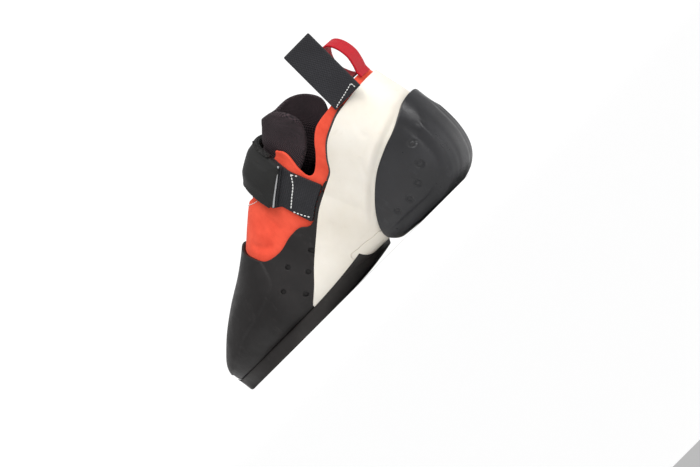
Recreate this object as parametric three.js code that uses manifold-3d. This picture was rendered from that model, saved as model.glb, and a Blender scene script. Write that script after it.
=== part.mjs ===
// A climbing shoe with one strap, for the right foot. Millimetres, X towards the toe,
// Y towards the inner side of the foot, Z up, standing on its heel and forefoot.
import * as THREE from 'three';
import { mergeVertices } from 'three/addons/utils/BufferGeometryUtils.js';
import Module from 'manifold-3d';

const wasm = await Module();
wasm.setup();

// Driving dimensions
const LAST_LENGTH = 236.5;
const BALL_WIDTH = 78;
const HEEL_WIDTH = 52;
const INSTEP_HEIGHT = 81;
const HEEL_HEIGHT = 92;
const UPPER_WALL = 1.8;
const RAND_THICKNESS = 1.8;
const CUP_SIDE_THICKNESS = 2.2;
const CUP_BAND_THICKNESS = 4.8;
const SOLE_THICKNESS = 4.5;
const SOLE_EDGE_HEIGHT = 9.5;
const INSOLE_THICKNESS = 2.4;
const TONGUE_THICKNESS = 3.2;
const STRAP_THICKNESS = 5.0;
const ANCHOR_THICKNESS = 1.8;
const WEBBING_THICKNESS = 1.5;
const TAB_WIDTH = 22;
const TAB_HEIGHT = 46;
const LOOP_WIDTH = 15;
const LOOP_HEIGHT = 27;
const THROAT_WIDTH = 25;
const MIDSOLE_INSET = 7;
const LASTING_MARGIN = 5;
const RAND_HOLE_DIAMETER = 3.4;
const RAND_HOLE_REACH = 5.4;
const SOLE_SLOT_LENGTH = 27;
const SOLE_SLOT_WIDTH = 8;
const SOLE_HOLE_DIAMETER = 5;
const GLUE_GAP = 0.3;

// Mesh density
const RING_STEPS = 33;
const QUARTER_STEPS = 6;
const FINE_STEPS = 60;
const RING_CROWDING = 1.12;
const PIN_SIDES = 10;
const HOLE_SIDES = 12;
const ARC_STEPS = 8;

// Offsets of the layers from the outside of the upper
const RAND_IN = GLUE_GAP;
const RAND_OUT = RAND_IN + RAND_THICKNESS;
const OVER_RAND = RAND_OUT + GLUE_GAP;
const LINING = -UPPER_WALL - GLUE_GAP;
const ANCHOR_OUT = GLUE_GAP + ANCHOR_THICKNESS;
const STRAP_IN = ANCHOR_OUT + GLUE_GAP;
const GROUND_TO_UPPER = SOLE_THICKNESS + OVER_RAND;
const FAR = 2 * LAST_LENGTH;

// Sections of the last from the toe to the ankle. back and front are the low and the high end
// of a section: x is a share of the length, z of the instep height above the sole. The half
// widths inner and outer, and ridge, the lean of the high end to the inner side, are shares of
// a width that goes from the ball's to the heel's as heel goes from 0 to 1. belly is the height
// share of the widest place, floor and crown say how square the halves below and above it are.
const SECTIONS = [
  {
    backX: 1.000, backZ: 0.085, frontX: 1.000, frontZ: 0.085,
    inner: 0.000, outer: 0.000, heel: 0, ridge: 0.00, belly: 0.40, floor: 2.4, crown: 2.0,
  },
  {
    backX: 0.990, backZ: 0.036, frontX: 0.993, frontZ: 0.145,
    inner: 0.115, outer: 0.125, heel: 0, ridge: 0.02, belly: 0.40, floor: 2.8, crown: 2.0,
  },
  {
    backX: 0.966, backZ: 0.014, frontX: 0.973, frontZ: 0.208,
    inner: 0.215, outer: 0.225, heel: 0, ridge: 0.05, belly: 0.40, floor: 3.2, crown: 2.0,
  },
  {
    backX: 0.928, backZ: 0.004, frontX: 0.938, frontZ: 0.282,
    inner: 0.303, outer: 0.295, heel: 0, ridge: 0.08, belly: 0.38, floor: 3.5, crown: 1.9,
  },
  {
    backX: 0.873, backZ: 0.000, frontX: 0.888, frontZ: 0.388,
    inner: 0.385, outer: 0.355, heel: 0, ridge: 0.10, belly: 0.36, floor: 3.7, crown: 1.8,
  },
  {
    backX: 0.805, backZ: 0.000, frontX: 0.824, frontZ: 0.505,
    inner: 0.455, outer: 0.390, heel: 0, ridge: 0.11, belly: 0.34, floor: 3.8, crown: 1.7,
  },
  {
    backX: 0.729, backZ: 0.000, frontX: 0.756, frontZ: 0.612,
    inner: 0.503, outer: 0.412, heel: 0, ridge: 0.12, belly: 0.32, floor: 3.8, crown: 1.6,
  },
  {
    backX: 0.657, backZ: 0.004, frontX: 0.693, frontZ: 0.728,
    inner: 0.487, outer: 0.430, heel: 0, ridge: 0.13, belly: 0.30, floor: 3.7, crown: 1.6,
  },
  {
    backX: 0.580, backZ: 0.014, frontX: 0.633, frontZ: 0.855,
    inner: 0.423, outer: 0.435, heel: 0, ridge: 0.15, belly: 0.29, floor: 3.4, crown: 1.7,
  },
  {
    backX: 0.500, backZ: 0.025, frontX: 0.578, frontZ: 0.966,
    inner: 0.392, outer: 0.470, heel: 0.25, ridge: 0.18, belly: 0.28, floor: 3.1, crown: 1.8,
  },
  {
    backX: 0.424, backZ: 0.030, frontX: 0.527, frontZ: 1.050,
    inner: 0.385, outer: 0.515, heel: 0.5, ridge: 0.20, belly: 0.28, floor: 2.8, crown: 1.8,
  },
  {
    backX: 0.347, backZ: 0.022, frontX: 0.489, frontZ: 1.118,
    inner: 0.410, outer: 0.548, heel: 0.75, ridge: 0.20, belly: 0.29, floor: 2.9, crown: 1.9,
  },
  {
    backX: 0.271, backZ: 0.005, frontX: 0.456, frontZ: 1.172,
    inner: 0.452, outer: 0.555, heel: 1, ridge: 0.18, belly: 0.30, floor: 3.0, crown: 2.0,
  },
  {
    backX: 0.195, backZ: -0.005, frontX: 0.431, frontZ: 1.210,
    inner: 0.462, outer: 0.540, heel: 1, ridge: 0.15, belly: 0.32, floor: 3.1, crown: 2.1,
  },
  {
    backX: 0.127, backZ: -0.002, frontX: 0.416, frontZ: 1.242,
    inner: 0.471, outer: 0.540, heel: 1, ridge: 0.15, belly: 0.35, floor: 3.2, crown: 2.2,
  },
  {
    backX: 0.078, backZ: 0.070, frontX: 0.404, frontZ: 1.273,
    inner: 0.480, outer: 0.540, heel: 1, ridge: 0.15, belly: 0.38, floor: 3.1, crown: 2.2,
  },
  {
    backX: 0.055, backZ: 0.223, frontX: 0.393, frontZ: 1.303,
    inner: 0.485, outer: 0.540, heel: 1, ridge: 0.14, belly: 0.41, floor: 2.8, crown: 2.2,
  },
  {
    backX: 0.052, backZ: 0.433, frontX: 0.383, frontZ: 1.333,
    inner: 0.485, outer: 0.535, heel: 1, ridge: 0.13, belly: 0.44, floor: 2.5, crown: 2.2,
  },
  {
    backX: 0.058, backZ: 0.656, frontX: 0.373, frontZ: 1.363,
    inner: 0.477, outer: 0.527, heel: 1, ridge: 0.11, belly: 0.46, floor: 2.3, crown: 2.2,
  },
  {
    backX: 0.074, backZ: 0.878, frontX: 0.362, frontZ: 1.397,
    inner: 0.469, outer: 0.515, heel: 1, ridge: 0.09, belly: 0.48, floor: 2.2, crown: 2.2,
  },
  {
    backX: 0.088, backZ: 1.100, frontX: 0.346, frontZ: 1.435,
    inner: 0.458, outer: 0.500, heel: 1, ridge: 0.05, belly: 0.50, floor: 2.1, crown: 2.1,
  },
  {
    backX: 0.096, backZ: 1.335, frontX: 0.336, frontZ: 1.490,
    inner: 0.433, outer: 0.477, heel: 1, ridge: 0.04, belly: 0.50, floor: 2.0, crown: 2.0,
  },
];

// Edge of the sole's tread from the toe to the arch: x is a share of the length, inner and
// outer of the ball width, rise of the sole's thickness.
const SOLE_SECTIONS = [
  { x: 1.0127, inner: 0.013, outer: 0.080, rise: 0.50 },
  { x: 1.0000, inner: 0.090, outer: 0.140, rise: 0.18 },
  { x: 0.9725, inner: 0.192, outer: 0.220, rise: 0.00 },
  { x: 0.9175, inner: 0.320, outer: 0.310, rise: 0.00 },
  { x: 0.8540, inner: 0.429, outer: 0.375, rise: 0.00 },
  { x: 0.7930, inner: 0.494, outer: 0.408, rise: 0.00 },
  { x: 0.7230, inner: 0.528, outer: 0.424, rise: 0.00 },
  { x: 0.6890, inner: 0.506, outer: 0.424, rise: 0.00 },
  { x: 0.6470, inner: 0.417, outer: 0.420, rise: 0.00 },
  { x: 0.6000, inner: 0.308, outer: 0.412, rise: 0.07 },
  { x: 0.5500, inner: 0.205, outer: 0.365, rise: 0.22 },
  { x: 0.5000, inner: 0.132, outer: 0.300, rise: 0.45 },
  { x: 0.4570, inner: 0.058, outer: 0.245, rise: 0.70 },
  { x: 0.4310, inner: -0.077, outer: 0.218, rise: 0.90 },
];

// Outlines seen from the side: x is a share of the length, z of the instep height above the
// sole, or of the heel height where a name starts with COLLAR.
const COLLAR_EDGE = [
  { x: 0.050, z: 1.005 }, { x: 0.106, z: 1.005 }, { x: 0.170, z: 0.985 }, { x: 0.228, z: 0.967 },
  { x: 0.254, z: 0.940 }, { x: 0.280, z: 0.890 }, { x: 0.300, z: 0.837 }, { x: 0.326, z: 0.783 },
  { x: 0.351, z: 0.750 }, { x: 0.368, z: 0.766 }, { x: 0.374, z: 0.848 }, { x: 0.372, z: 0.957 },
  { x: 0.380, z: 1.010 }, { x: 0.400, z: 1.045 }, { x: 0.450, z: 1.130 }, { x: 0.560, z: 1.400 },
];
const TENSION_EDGE = [
  { x: 0.620, z: 0.035 }, { x: 0.573, z: 0.136 }, { x: 0.528, z: 0.263 }, { x: 0.472, z: 0.399 },
  { x: 0.419, z: 0.516 }, { x: 0.383, z: 0.575 }, { x: 0.332, z: 0.640 },
];
const COLLAR_RAND_EDGE = [
  { x: 0.304, z: 0.674 }, { x: 0.279, z: 0.750 }, { x: 0.245, z: 0.827 }, { x: 0.201, z: 0.881 },
  { x: 0.170, z: 0.910 }, { x: 0.131, z: 0.929 }, { x: 0.076, z: 0.947 }, { x: 0.000, z: 0.955 },
];
const TOE_RAND_TOP = [
  { x: 0.332, z: 0.668 }, { x: 0.368, z: 0.632 }, { x: 0.403, z: 0.586 }, { x: 0.446, z: 0.508 },
  { x: 0.466, z: 0.508 }, { x: 0.488, z: 0.550 }, { x: 0.525, z: 0.552 }, { x: 0.570, z: 0.524 },
  { x: 0.620, z: 0.553 }, { x: 0.649, z: 0.640 }, { x: 0.677, z: 0.742 }, { x: 0.693, z: 0.900 },
];
const CUP_EDGE = [
  { x: 0.000, z: 0.690 }, { x: 0.030, z: 0.680 }, { x: 0.059, z: 0.620 }, { x: 0.093, z: 0.560 },
  { x: 0.140, z: 0.507 }, { x: 0.205, z: 0.421 }, { x: 0.262, z: 0.304 }, { x: 0.309, z: 0.168 },
  { x: 0.338, z: 0.038 }, { x: 0.338, z: -0.050 }, { x: 0.325, z: -0.200 },
];
const ARCH_EDGE = [
  { x: 0.325, z: -0.200 }, { x: 0.334, z: 0.060 }, { x: 0.370, z: 0.095 }, { x: 0.420, z: 0.110 },
  { x: 0.452, z: 0.090 }, { x: 0.470, z: -0.200 },
];
const INSOLE_EDGE = [
  { x: 0.100, z: -0.200 }, { x: 0.100, z: 0.115 }, { x: 0.190, z: 0.095 }, { x: 0.347, z: 0.160 },
  { x: 0.500, z: 0.150 }, { x: 0.655, z: 0.105 }, { x: 0.846, z: 0.100 }, { x: 0.935, z: 0.110 },
  { x: 0.935, z: -0.200 },
];
const TONGUE_EDGE = [
  { x: 0.615, z: 0.735 }, { x: 0.640, z: 1.000 }, { x: 0.530, z: 1.400 }, { x: 0.430, z: 1.500 },
  { x: 0.400, z: 1.372 }, { x: 0.372, z: 1.335 }, { x: 0.330, z: 1.330 }, { x: 0.296, z: 1.260 },
  { x: 0.275, z: 1.150 }, { x: 0.282, z: 1.050 }, { x: 0.310, z: 0.960 }, { x: 0.350, z: 0.895 },
  { x: 0.402, z: 0.845 }, { x: 0.470, z: 0.795 }, { x: 0.550, z: 0.745 },
];
const ANCHOR_EDGE = [
  { x: 0.351, z: 0.640 }, { x: 0.399, z: 0.915 }, { x: 0.413, z: 1.075 }, { x: 0.432, z: 1.125 },
  { x: 0.520, z: 0.880 }, { x: 0.505, z: 0.800 }, { x: 0.481, z: 0.760 }, { x: 0.447, z: 0.500 },
];
const STRAP_INNER_EDGE = [
  { x: 0.404, z: 1.000 }, { x: 0.410, z: 1.075 }, { x: 0.435, z: 1.290 }, { x: 0.480, z: 1.500 },
  { x: 0.620, z: 1.300 }, { x: 0.540, z: 1.080 }, { x: 0.521, z: 0.930 }, { x: 0.503, z: 0.795 },
];
const STRAP_OUTER_EDGE = [
  { x: 0.351, z: 0.690 }, { x: 0.399, z: 0.930 }, { x: 0.435, z: 1.290 }, { x: 0.480, z: 1.500 },
  { x: 0.620, z: 1.300 }, { x: 0.540, z: 1.080 }, { x: 0.505, z: 0.795 }, { x: 0.456, z: 0.575 },
];
const RAND_HOLES = [
  { x: 0.506, z: 0.363 }, { x: 0.552, z: 0.257 }, { x: 0.600, z: 0.148 },
  { x: 0.582, z: 0.396 }, { x: 0.635, z: 0.286 },
];

const mix = (from, to, share) => from + (to - from) * share;
const lift = (share) => GROUND_TO_UPPER + share * INSTEP_HEIGHT;
const besideSole = ({ x, z }) => new THREE.Vector2(x * LAST_LENGTH, lift(z));
const besideHeel = ({ x, z }) => new THREE.Vector2(x * LAST_LENGTH, z * HEEL_HEIGHT);

// Value of one column of a table, on a smooth curve through its rows
function column(table, name, place) {
  const row = Math.min(Math.floor(place), table.length - 2);
  const t = place - row;
  const at = (index) => table[Math.max(0, Math.min(table.length - 1, index))][name];
  const [a, b, c, d] = [at(row - 1), at(row), at(row + 1), at(row + 2)];
  return b + 0.5 * t * (c - a + t * (2 * a - 5 * b + 4 * c - d + t * (3 * (b - c) + d - a)));
}

// Points at equal steps along a fine line
function evenly(line, steps) {
  const lengths = [0];
  for (let i = 1; i < line.length; i += 1) {
    lengths.push(lengths[i - 1] + line[i].distanceTo(line[i - 1]));
  }
  const points = [];
  let i = 1;
  for (let step = 0; step <= steps; step += 1) {
    const goal = (lengths[line.length - 1] * step) / steps;
    while (i < line.length - 1 && lengths[i] < goal) i += 1;
    const share = (goal - lengths[i - 1]) / (lengths[i] - lengths[i - 1]);
    points.push(line[i - 1].clone().lerp(line[i], Math.min(1, share)));
  }
  return points;
}

// One half of a section, from its low end over one side to its high end, as height share
// and half width
function halfSection(half, belly, floor, crown) {
  const quarter = (from, size, power, downwards) => {
    const line = [];
    for (let i = 0; i <= FINE_STEPS; i += 1) {
      const angle = (i / FINE_STEPS) * (Math.PI / 2);
      const across = Math.cos(angle) ** (2 / power);
      const along = Math.sin(angle) ** (2 / power);
      line.push(new THREE.Vector2(from + (downwards ? -along : along) * size, half * across));
    }
    return line;
  };
  const scale = (line) => evenly(line, QUARTER_STEPS);
  const low = scale(quarter(belly, belly, floor, true)).reverse();
  const high = scale(quarter(belly, 1 - belly, crown, false));
  return [...low, ...high.slice(1)];
}

// The last as rings of points from the toe to the ankle, each starting at the low end and
// going round by the inner side
function lastRings() {
  const rings = [];
  const lastRow = SECTIONS.length - 1;
  for (let ring = 1; ring <= RING_STEPS; ring += 1) {
    const place = lastRow * (ring / RING_STEPS) ** RING_CROWDING;
    const get = (name) => column(SECTIONS, name, place);
    const back = new THREE.Vector2(get('backX') * LAST_LENGTH, lift(get('backZ')));
    const front = new THREE.Vector2(get('frontX') * LAST_LENGTH, lift(get('frontZ')));
    const tall = back.distanceTo(front);
    const width = mix(BALL_WIDTH, HEEL_WIDTH, THREE.MathUtils.clamp(get('heel'), 0, 1));
    const side = (half) => halfSection(half / tall, get('belly'), get('floor'), get('crown'));
    const inner = side(get('inner') * width);
    const outer = side(get('outer') * width);
    const place3 = (point, sign) => {
      const lean = get('ridge') * width * Math.max(0, point.x) ** 1.5;
      const x = mix(back.x, front.x, point.x);
      return new THREE.Vector3(x, sign * point.y * tall + lean, mix(back.y, front.y, point.x));
    };
    const points = inner.map((point) => place3(point, 1));
    const wayBack = outer.slice(1, -1).reverse();
    rings.push([...points, ...wayBack.map((point) => place3(point, -1))]);
  }
  return rings;
}

const RINGS = lastRings();
const COLUMNS = RINGS[0].length;
const TOE_POINT = new THREE.Vector3(SECTIONS[0].frontX * LAST_LENGTH, 0, lift(SECTIONS[0].frontZ));

// Directions out of the last's surface at each point of the rings
function ringNormals() {
  return RINGS.map((ring, r) => ring.map((point, c) => {
    const before = r === 0 ? TOE_POINT : RINGS[r - 1][c];
    const after = RINGS[Math.min(r + 1, RINGS.length - 1)][c];
    const along = after.clone().sub(before);
    const around = ring[(c + 1) % COLUMNS].clone().sub(ring[(c + COLUMNS - 1) % COLUMNS]);
    return along.cross(around).normalize();
  }));
}
const NORMALS = ringNormals();

function toSolid(positions, triangles) {
  const mesh = new wasm.Mesh({
    numProp: 3,
    vertProperties: Float32Array.from(positions),
    triVerts: Uint32Array.from(triangles),
  });
  return new wasm.Manifold(mesh);
}

// The last grown by an offset, which may depend on the ring's column share: 0 at the low end,
// 1 at the high end
function grownLast(offset) {
  const size = typeof offset === 'function' ? offset : () => offset;
  const tip = TOE_POINT.clone();
  tip.x += size(0.5);
  const positions = [tip.x, tip.y, tip.z];
  RINGS.forEach((ring, r) => ring.forEach((point, c) => {
    const share = 1 - Math.abs(1 - (2 * c) / COLUMNS);
    const moved = point.clone().addScaledVector(NORMALS[r][c], size(share));
    positions.push(moved.x, moved.y, moved.z);
  }));
  const lastRing = RINGS.length - 1;
  const middle = new THREE.Vector3();
  RINGS[lastRing].forEach((point) => middle.addScaledVector(point, 1 / COLUMNS));
  positions.push(middle.x, middle.y, middle.z);
  const at = (r, c) => 1 + r * COLUMNS + (c % COLUMNS);
  const top = 1 + RINGS.length * COLUMNS;
  const triangles = [];
  for (let c = 0; c < COLUMNS; c += 1) {
    triangles.push(0, at(0, c), at(0, c + 1));
    for (let r = 0; r < lastRing; r += 1) {
      triangles.push(at(r, c), at(r + 1, c), at(r + 1, c + 1));
      triangles.push(at(r, c), at(r + 1, c + 1), at(r, c + 1));
    }
    triangles.push(top, at(lastRing, c + 1), at(lastRing, c));
  }
  return toSolid(positions, triangles);
}

function layer(inside, outside) {
  return grownLast(outside).subtract(grownLast(inside));
}

// A closed geometry with its shared points merged, before it is turned or moved
function merged(geometry) {
  geometry.deleteAttribute('normal');
  geometry.deleteAttribute('uv');
  return mergeVertices(geometry, 1e-4);
}

function fromGeometry(geometry) {
  return toSolid(geometry.attributes.position.array, geometry.index.array);
}

function extruded(points, depth) {
  const options = { depth, bevelEnabled: false };
  return merged(new THREE.ExtrudeGeometry(new THREE.Shape(points), options));
}

// Straight cutters: an outline seen from the side, and one seen from above
function sideBlock(points, low = -FAR, high = FAR) {
  const geometry = extruded(points, high - low);
  geometry.rotateX(Math.PI / 2);
  geometry.translate(0, high, 0);
  return fromGeometry(geometry);
}

function planBlock(points, low, high) {
  const geometry = extruded(points, high - low);
  geometry.translate(0, 0, low);
  return fromGeometry(geometry);
}

// A line made smooth, with a few points for each row
function smooth(points, closed = false, steps = 2) {
  const curve = new THREE.SplineCurve(closed ? [...points, points[0]] : points);
  const line = curve.getPoints((points.length - 1) * steps);
  return closed ? line.slice(0, -1) : line;
}

// An outline moved outwards by a distance
function widened(points, distance) {
  const sign = THREE.ShapeUtils.isClockWise(points) ? -1 : 1;
  return points.map((point, i) => {
    const before = points[(i + points.length - 1) % points.length];
    const after = points[(i + 1) % points.length];
    const along = after.clone().sub(before).normalize();
    return new THREE.Vector2(point.x + sign * along.y * distance, point.y - sign * along.x * distance);
  });
}

// Furthest point of the last's side at a place seen from the side, grown by an offset
function sideY(x, z, sign, offset = 0) {
  const point = (r, c) => RINGS[r][c].clone().addScaledVector(NORMALS[r][c], offset);
  let best = null;
  for (let r = 0; r < RINGS.length - 1; r += 1) {
    for (let c = 0; c < COLUMNS; c += 1) {
      const next = (c + 1) % COLUMNS;
      const corners = [point(r, c), point(r + 1, c), point(r + 1, next), point(r, next)];
      for (const [i, j, k] of [[0, 1, 2], [0, 2, 3]]) {
        const [p, q, s] = [corners[i], corners[j], corners[k]];
        const area = (q.x - p.x) * (s.z - p.z) - (s.x - p.x) * (q.z - p.z);
        const u = ((x - p.x) * (s.z - p.z) - (s.x - p.x) * (z - p.z)) / area;
        const v = ((q.x - p.x) * (z - p.z) - (x - p.x) * (q.z - p.z)) / area;
        if (u >= 0 && v >= 0 && u + v <= 1) {
          const y = p.y + u * (q.y - p.y) + v * (s.y - p.y);
          if (best === null || y * sign > best * sign) best = y;
        }
      }
    }
  }
  return best;
}

const below = -FAR;
const TENSION_LINE = smooth([...TENSION_EDGE.map(besideSole), ...COLLAR_RAND_EDGE.map(besideHeel)]);
const HEEL_REGION = [
  ...TENSION_LINE,
  new THREE.Vector2(-FAR, TENSION_LINE[TENSION_LINE.length - 1].y),
  new THREE.Vector2(-FAR, below),
  new THREE.Vector2(TENSION_LINE[0].x, below),
];
const ARCH_REGION = smooth(ARCH_EDGE.map(besideSole));

// Outline of the sole seen from above, pulled in by a distance
function soleOutline(inset, first, last) {
  const rows = SOLE_SECTIONS.slice(first, last + 1);
  const inner = rows.map((row) => new THREE.Vector2(row.x * LAST_LENGTH, row.inner * BALL_WIDTH - inset));
  const outer = rows.map((row) => new THREE.Vector2(row.x * LAST_LENGTH, inset - row.outer * BALL_WIDTH));
  return [...inner.reverse(), ...outer];
}

const FIRST_BOARD_ROW = 3;
const LAST_BOARD_ROW = 10;
const FIRST_OPENING_ROW = 4;
const LAST_OPENING_ROW = 9;
const BOARD_REGION = soleOutline(MIDSOLE_INSET, FIRST_BOARD_ROW, LAST_BOARD_ROW);
const UNDER_BOARD = -SOLE_THICKNESS;
const OVER_BOARD = GROUND_TO_UPPER + UPPER_WALL + INSOLE_THICKNESS;

function collarBlock() {
  const edge = smooth(COLLAR_EDGE.map(besideHeel));
  const end = edge[edge.length - 1];
  return sideBlock([
    ...edge,
    new THREE.Vector2(end.x, FAR),
    new THREE.Vector2(-FAR, FAR),
    new THREE.Vector2(-FAR, edge[0].y),
  ]);
}

const THROAT_START = 0.330;
const THROAT_END = 0.580;
const THROAT_MIDDLE = 0.10;
const THROAT_LOW = 0.60;
function throatBlock() {
  const radius = THROAT_WIDTH / 2;
  const middle = THROAT_MIDDLE * BALL_WIDTH;
  const start = THROAT_START * LAST_LENGTH;
  const centre = THROAT_END * LAST_LENGTH - radius;
  const points = [new THREE.Vector2(start, middle - radius)];
  for (let i = 0; i <= ARC_STEPS; i += 1) {
    const angle = -Math.PI / 2 + (i / ARC_STEPS) * Math.PI;
    points.push(new THREE.Vector2(centre + radius * Math.cos(angle), middle + radius * Math.sin(angle)));
  }
  points.push(new THREE.Vector2(start, middle + radius));
  return planBlock(points, lift(THROAT_LOW), FAR);
}

function makeUpper() {
  const region = soleOutline(MIDSOLE_INSET + LASTING_MARGIN, FIRST_OPENING_ROW, LAST_OPENING_ROW);
  const opening = planBlock(region, UNDER_BOARD, OVER_BOARD);
  return grownLast(0).subtract(grownLast(-UPPER_WALL)).subtract(collarBlock())
    .subtract(throatBlock()).subtract(opening);
}

function makeInsole() {
  const region = sideBlock(INSOLE_EDGE.map(besideSole));
  return layer(LINING - INSOLE_THICKNESS, LINING).intersect(region);
}

function makeTongue() {
  const region = sideBlock(smooth(TONGUE_EDGE.map(besideSole), true));
  return layer(LINING - TONGUE_THICKNESS, LINING).intersect(region);
}

function makeMidsole() {
  const region = planBlock(BOARD_REGION, UNDER_BOARD, OVER_BOARD);
  return layer(RAND_IN, RAND_OUT).intersect(region);
}

// The sole's own block: tread, ground edge up to the rand, and a top inside the rand. Where the
// last has no side at the top's height, the top is a share of the tread's half width.
const EDGE_SLOPE = 0.7;
function soleBlock() {
  const positions = [];
  SOLE_SECTIONS.forEach((row) => {
    const x = row.x * LAST_LENGTH;
    const z = row.rise * SOLE_THICKNESS;
    const top = z + SOLE_EDGE_HEIGHT;
    const inside = Math.min(x, LAST_LENGTH - RAND_OUT);
    const edge = (half, sign) => {
      const side = sideY(inside, top, sign, RAND_OUT - GLUE_GAP);
      return side === null ? sign * half * BALL_WIDTH * EDGE_SLOPE : side;
    };
    positions.push(inside, edge(row.inner, 1), top);
    positions.push(x, row.inner * BALL_WIDTH, z);
    positions.push(x, -row.outer * BALL_WIDTH, z);
    positions.push(inside, edge(row.outer, -1), top);
  });
  const count = SOLE_SECTIONS.length;
  const at = (r, c) => r * 4 + (c % 4);
  const triangles = [at(0, 0), at(0, 2), at(0, 1), at(0, 0), at(0, 3), at(0, 2)];
  for (let r = 0; r < count - 1; r += 1) {
    for (let c = 0; c < 4; c += 1) {
      triangles.push(at(r, c), at(r + 1, c + 1), at(r + 1, c));
      triangles.push(at(r, c), at(r, c + 1), at(r + 1, c + 1));
    }
  }
  const end = count - 1;
  triangles.push(at(end, 0), at(end, 1), at(end, 2), at(end, 0), at(end, 2), at(end, 3));
  return toSolid(positions, triangles);
}

const SLOT_TIP = { x: 0.660, y: -0.060 };
const SLOT_TURN = 0.03;
const SOLE_HOLE = { x: 0.717, y: -0.094 };
function soleCuts() {
  const tipX = SLOT_TIP.x * LAST_LENGTH;
  const tipY = SLOT_TIP.y * BALL_WIDTH;
  const radius = SOLE_SLOT_WIDTH / 2;
  const slot = [new THREE.Vector2(tipX, tipY)];
  for (let i = 0; i <= ARC_STEPS; i += 1) {
    const angle = Math.PI / 2 + (i / ARC_STEPS) * Math.PI;
    const x = tipX - SOLE_SLOT_LENGTH + radius + radius * Math.cos(angle);
    const y = tipY + radius * Math.sin(angle) - SLOT_TURN * SOLE_SLOT_LENGTH;
    slot.push(new THREE.Vector2(x, y));
  }
  const across = SOLE_HOLE_DIAMETER / 2;
  const hole = merged(new THREE.CylinderGeometry(across, across, FAR, HOLE_SIDES));
  hole.rotateX(Math.PI / 2);
  hole.translate(SOLE_HOLE.x * LAST_LENGTH, SOLE_HOLE.y * BALL_WIDTH, 0);
  return planBlock(slot, UNDER_BOARD, OVER_BOARD).add(fromGeometry(hole));
}

function makeOutsole() {
  return soleBlock().subtract(grownLast(OVER_RAND)).subtract(soleCuts());
}

function sidePins(places, diameter, depth, offset) {
  let pins = null;
  for (const sign of [1, -1]) {
    for (const { x, z } of places) {
      const at = besideSole({ x, z });
      const pin = merged(new THREE.CylinderGeometry(diameter / 2, diameter / 2, 2 * depth, PIN_SIDES));
      pin.translate(at.x, sideY(at.x, at.y, sign, offset), at.y);
      const solid = fromGeometry(pin);
      pins = pins === null ? solid : pins.add(solid);
    }
  }
  return pins;
}

function toeRegion() {
  const top = smooth(TOE_RAND_TOP.map(besideSole));
  const end = top[top.length - 1];
  const strip = TENSION_LINE.filter((point) => point.x >= top[0].x);
  const edge = widened(HEEL_REGION, GLUE_GAP).slice(0, strip.length);
  return [
    ...edge.reverse(),
    new THREE.Vector2(edge[edge.length - 1].x, below),
    new THREE.Vector2(FAR, below),
    new THREE.Vector2(FAR, end.y),
    ...top.reverse(),
  ];
}

function makeToeRand() {
  const board = planBlock(widened(BOARD_REGION, GLUE_GAP), UNDER_BOARD, OVER_BOARD);
  const holes = sidePins(RAND_HOLES, RAND_HOLE_DIAMETER, RAND_HOLE_REACH, 0);
  return layer(RAND_IN, RAND_OUT).intersect(sideBlock(toeRegion())).subtract(board).subtract(holes);
}

function makeHeelRand() {
  const board = planBlock(widened(BOARD_REGION, GLUE_GAP), UNDER_BOARD, OVER_BOARD);
  return layer(RAND_IN, RAND_OUT).intersect(sideBlock(HEEL_REGION)).subtract(board)
    .subtract(sideBlock(widened(ARCH_REGION, GLUE_GAP)));
}

function makeArchPanel() {
  return layer(RAND_IN, RAND_OUT).intersect(sideBlock(ARCH_REGION));
}

const BAND_EDGE = 0.15;
const BAND_FADE = 0.08;
function cupOffset(share) {
  const side = THREE.MathUtils.smoothstep(share, BAND_EDGE, BAND_EDGE + BAND_FADE);
  return OVER_RAND + mix(CUP_BAND_THICKNESS, CUP_SIDE_THICKNESS, side);
}

function makeHeelCup() {
  const edge = smooth(CUP_EDGE.map(besideSole));
  const end = edge[edge.length - 1];
  const region = sideBlock([
    ...edge,
    new THREE.Vector2(end.x, below),
    new THREE.Vector2(-FAR, below),
    new THREE.Vector2(-FAR, edge[0].y),
  ]);
  const ground = sideBlock([
    new THREE.Vector2(-FAR, 0), new THREE.Vector2(FAR, 0),
    new THREE.Vector2(FAR, -FAR), new THREE.Vector2(-FAR, -FAR),
  ]);
  return grownLast(cupOffset).subtract(grownLast(OVER_RAND)).intersect(region).subtract(ground);
}

function makeAnchor() {
  const region = sideBlock(ANCHOR_EDGE.map(besideSole), 0, FAR);
  return layer(GLUE_GAP, ANCHOR_OUT).intersect(region)
    .subtract(sideBlock(widened(toeRegion(), GLUE_GAP)));
}

function makeStrap() {
  const middle = THROAT_MIDDLE * BALL_WIDTH;
  const inner = sideBlock(STRAP_INNER_EDGE.map(besideSole), middle - GLUE_GAP, FAR);
  const outer = sideBlock(STRAP_OUTER_EDGE.map(besideSole), -FAR, middle);
  return layer(STRAP_IN, STRAP_IN + STRAP_THICKNESS).intersect(inner.add(outer));
}

// The tab stands on the outside of the collar, just clear of the wall over its whole foot
const TAB_PLACE = { x: 0.121, z: 0.935 };
const TAB_TURN = 0.26;
const TAB_SPOTS = [-0.5, -0.25, 0, 0.25, 0.5];
function makePullTab() {
  const x = TAB_PLACE.x * LAST_LENGTH;
  const z = TAB_PLACE.z * HEEL_HEIGHT;
  const rim = HEEL_HEIGHT * COLLAR_EDGE[0].z;
  const thick = 2 * WEBBING_THICKNESS;
  const wall = TAB_SPOTS.flatMap((share) => [z, rim].map((height) => (
    sideY(x + share * TAB_WIDTH * Math.cos(TAB_TURN), height, 1) - share * TAB_WIDTH * Math.sin(TAB_TURN)
  )));
  const centreY = Math.max(...wall) + (GLUE_GAP + thick / 2) / Math.cos(TAB_TURN);
  const geometry = merged(new THREE.BoxGeometry(TAB_WIDTH, thick, TAB_HEIGHT));
  geometry.rotateZ(TAB_TURN);
  geometry.translate(x, centreY, z + TAB_HEIGHT / 2);
  return fromGeometry(geometry);
}

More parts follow.
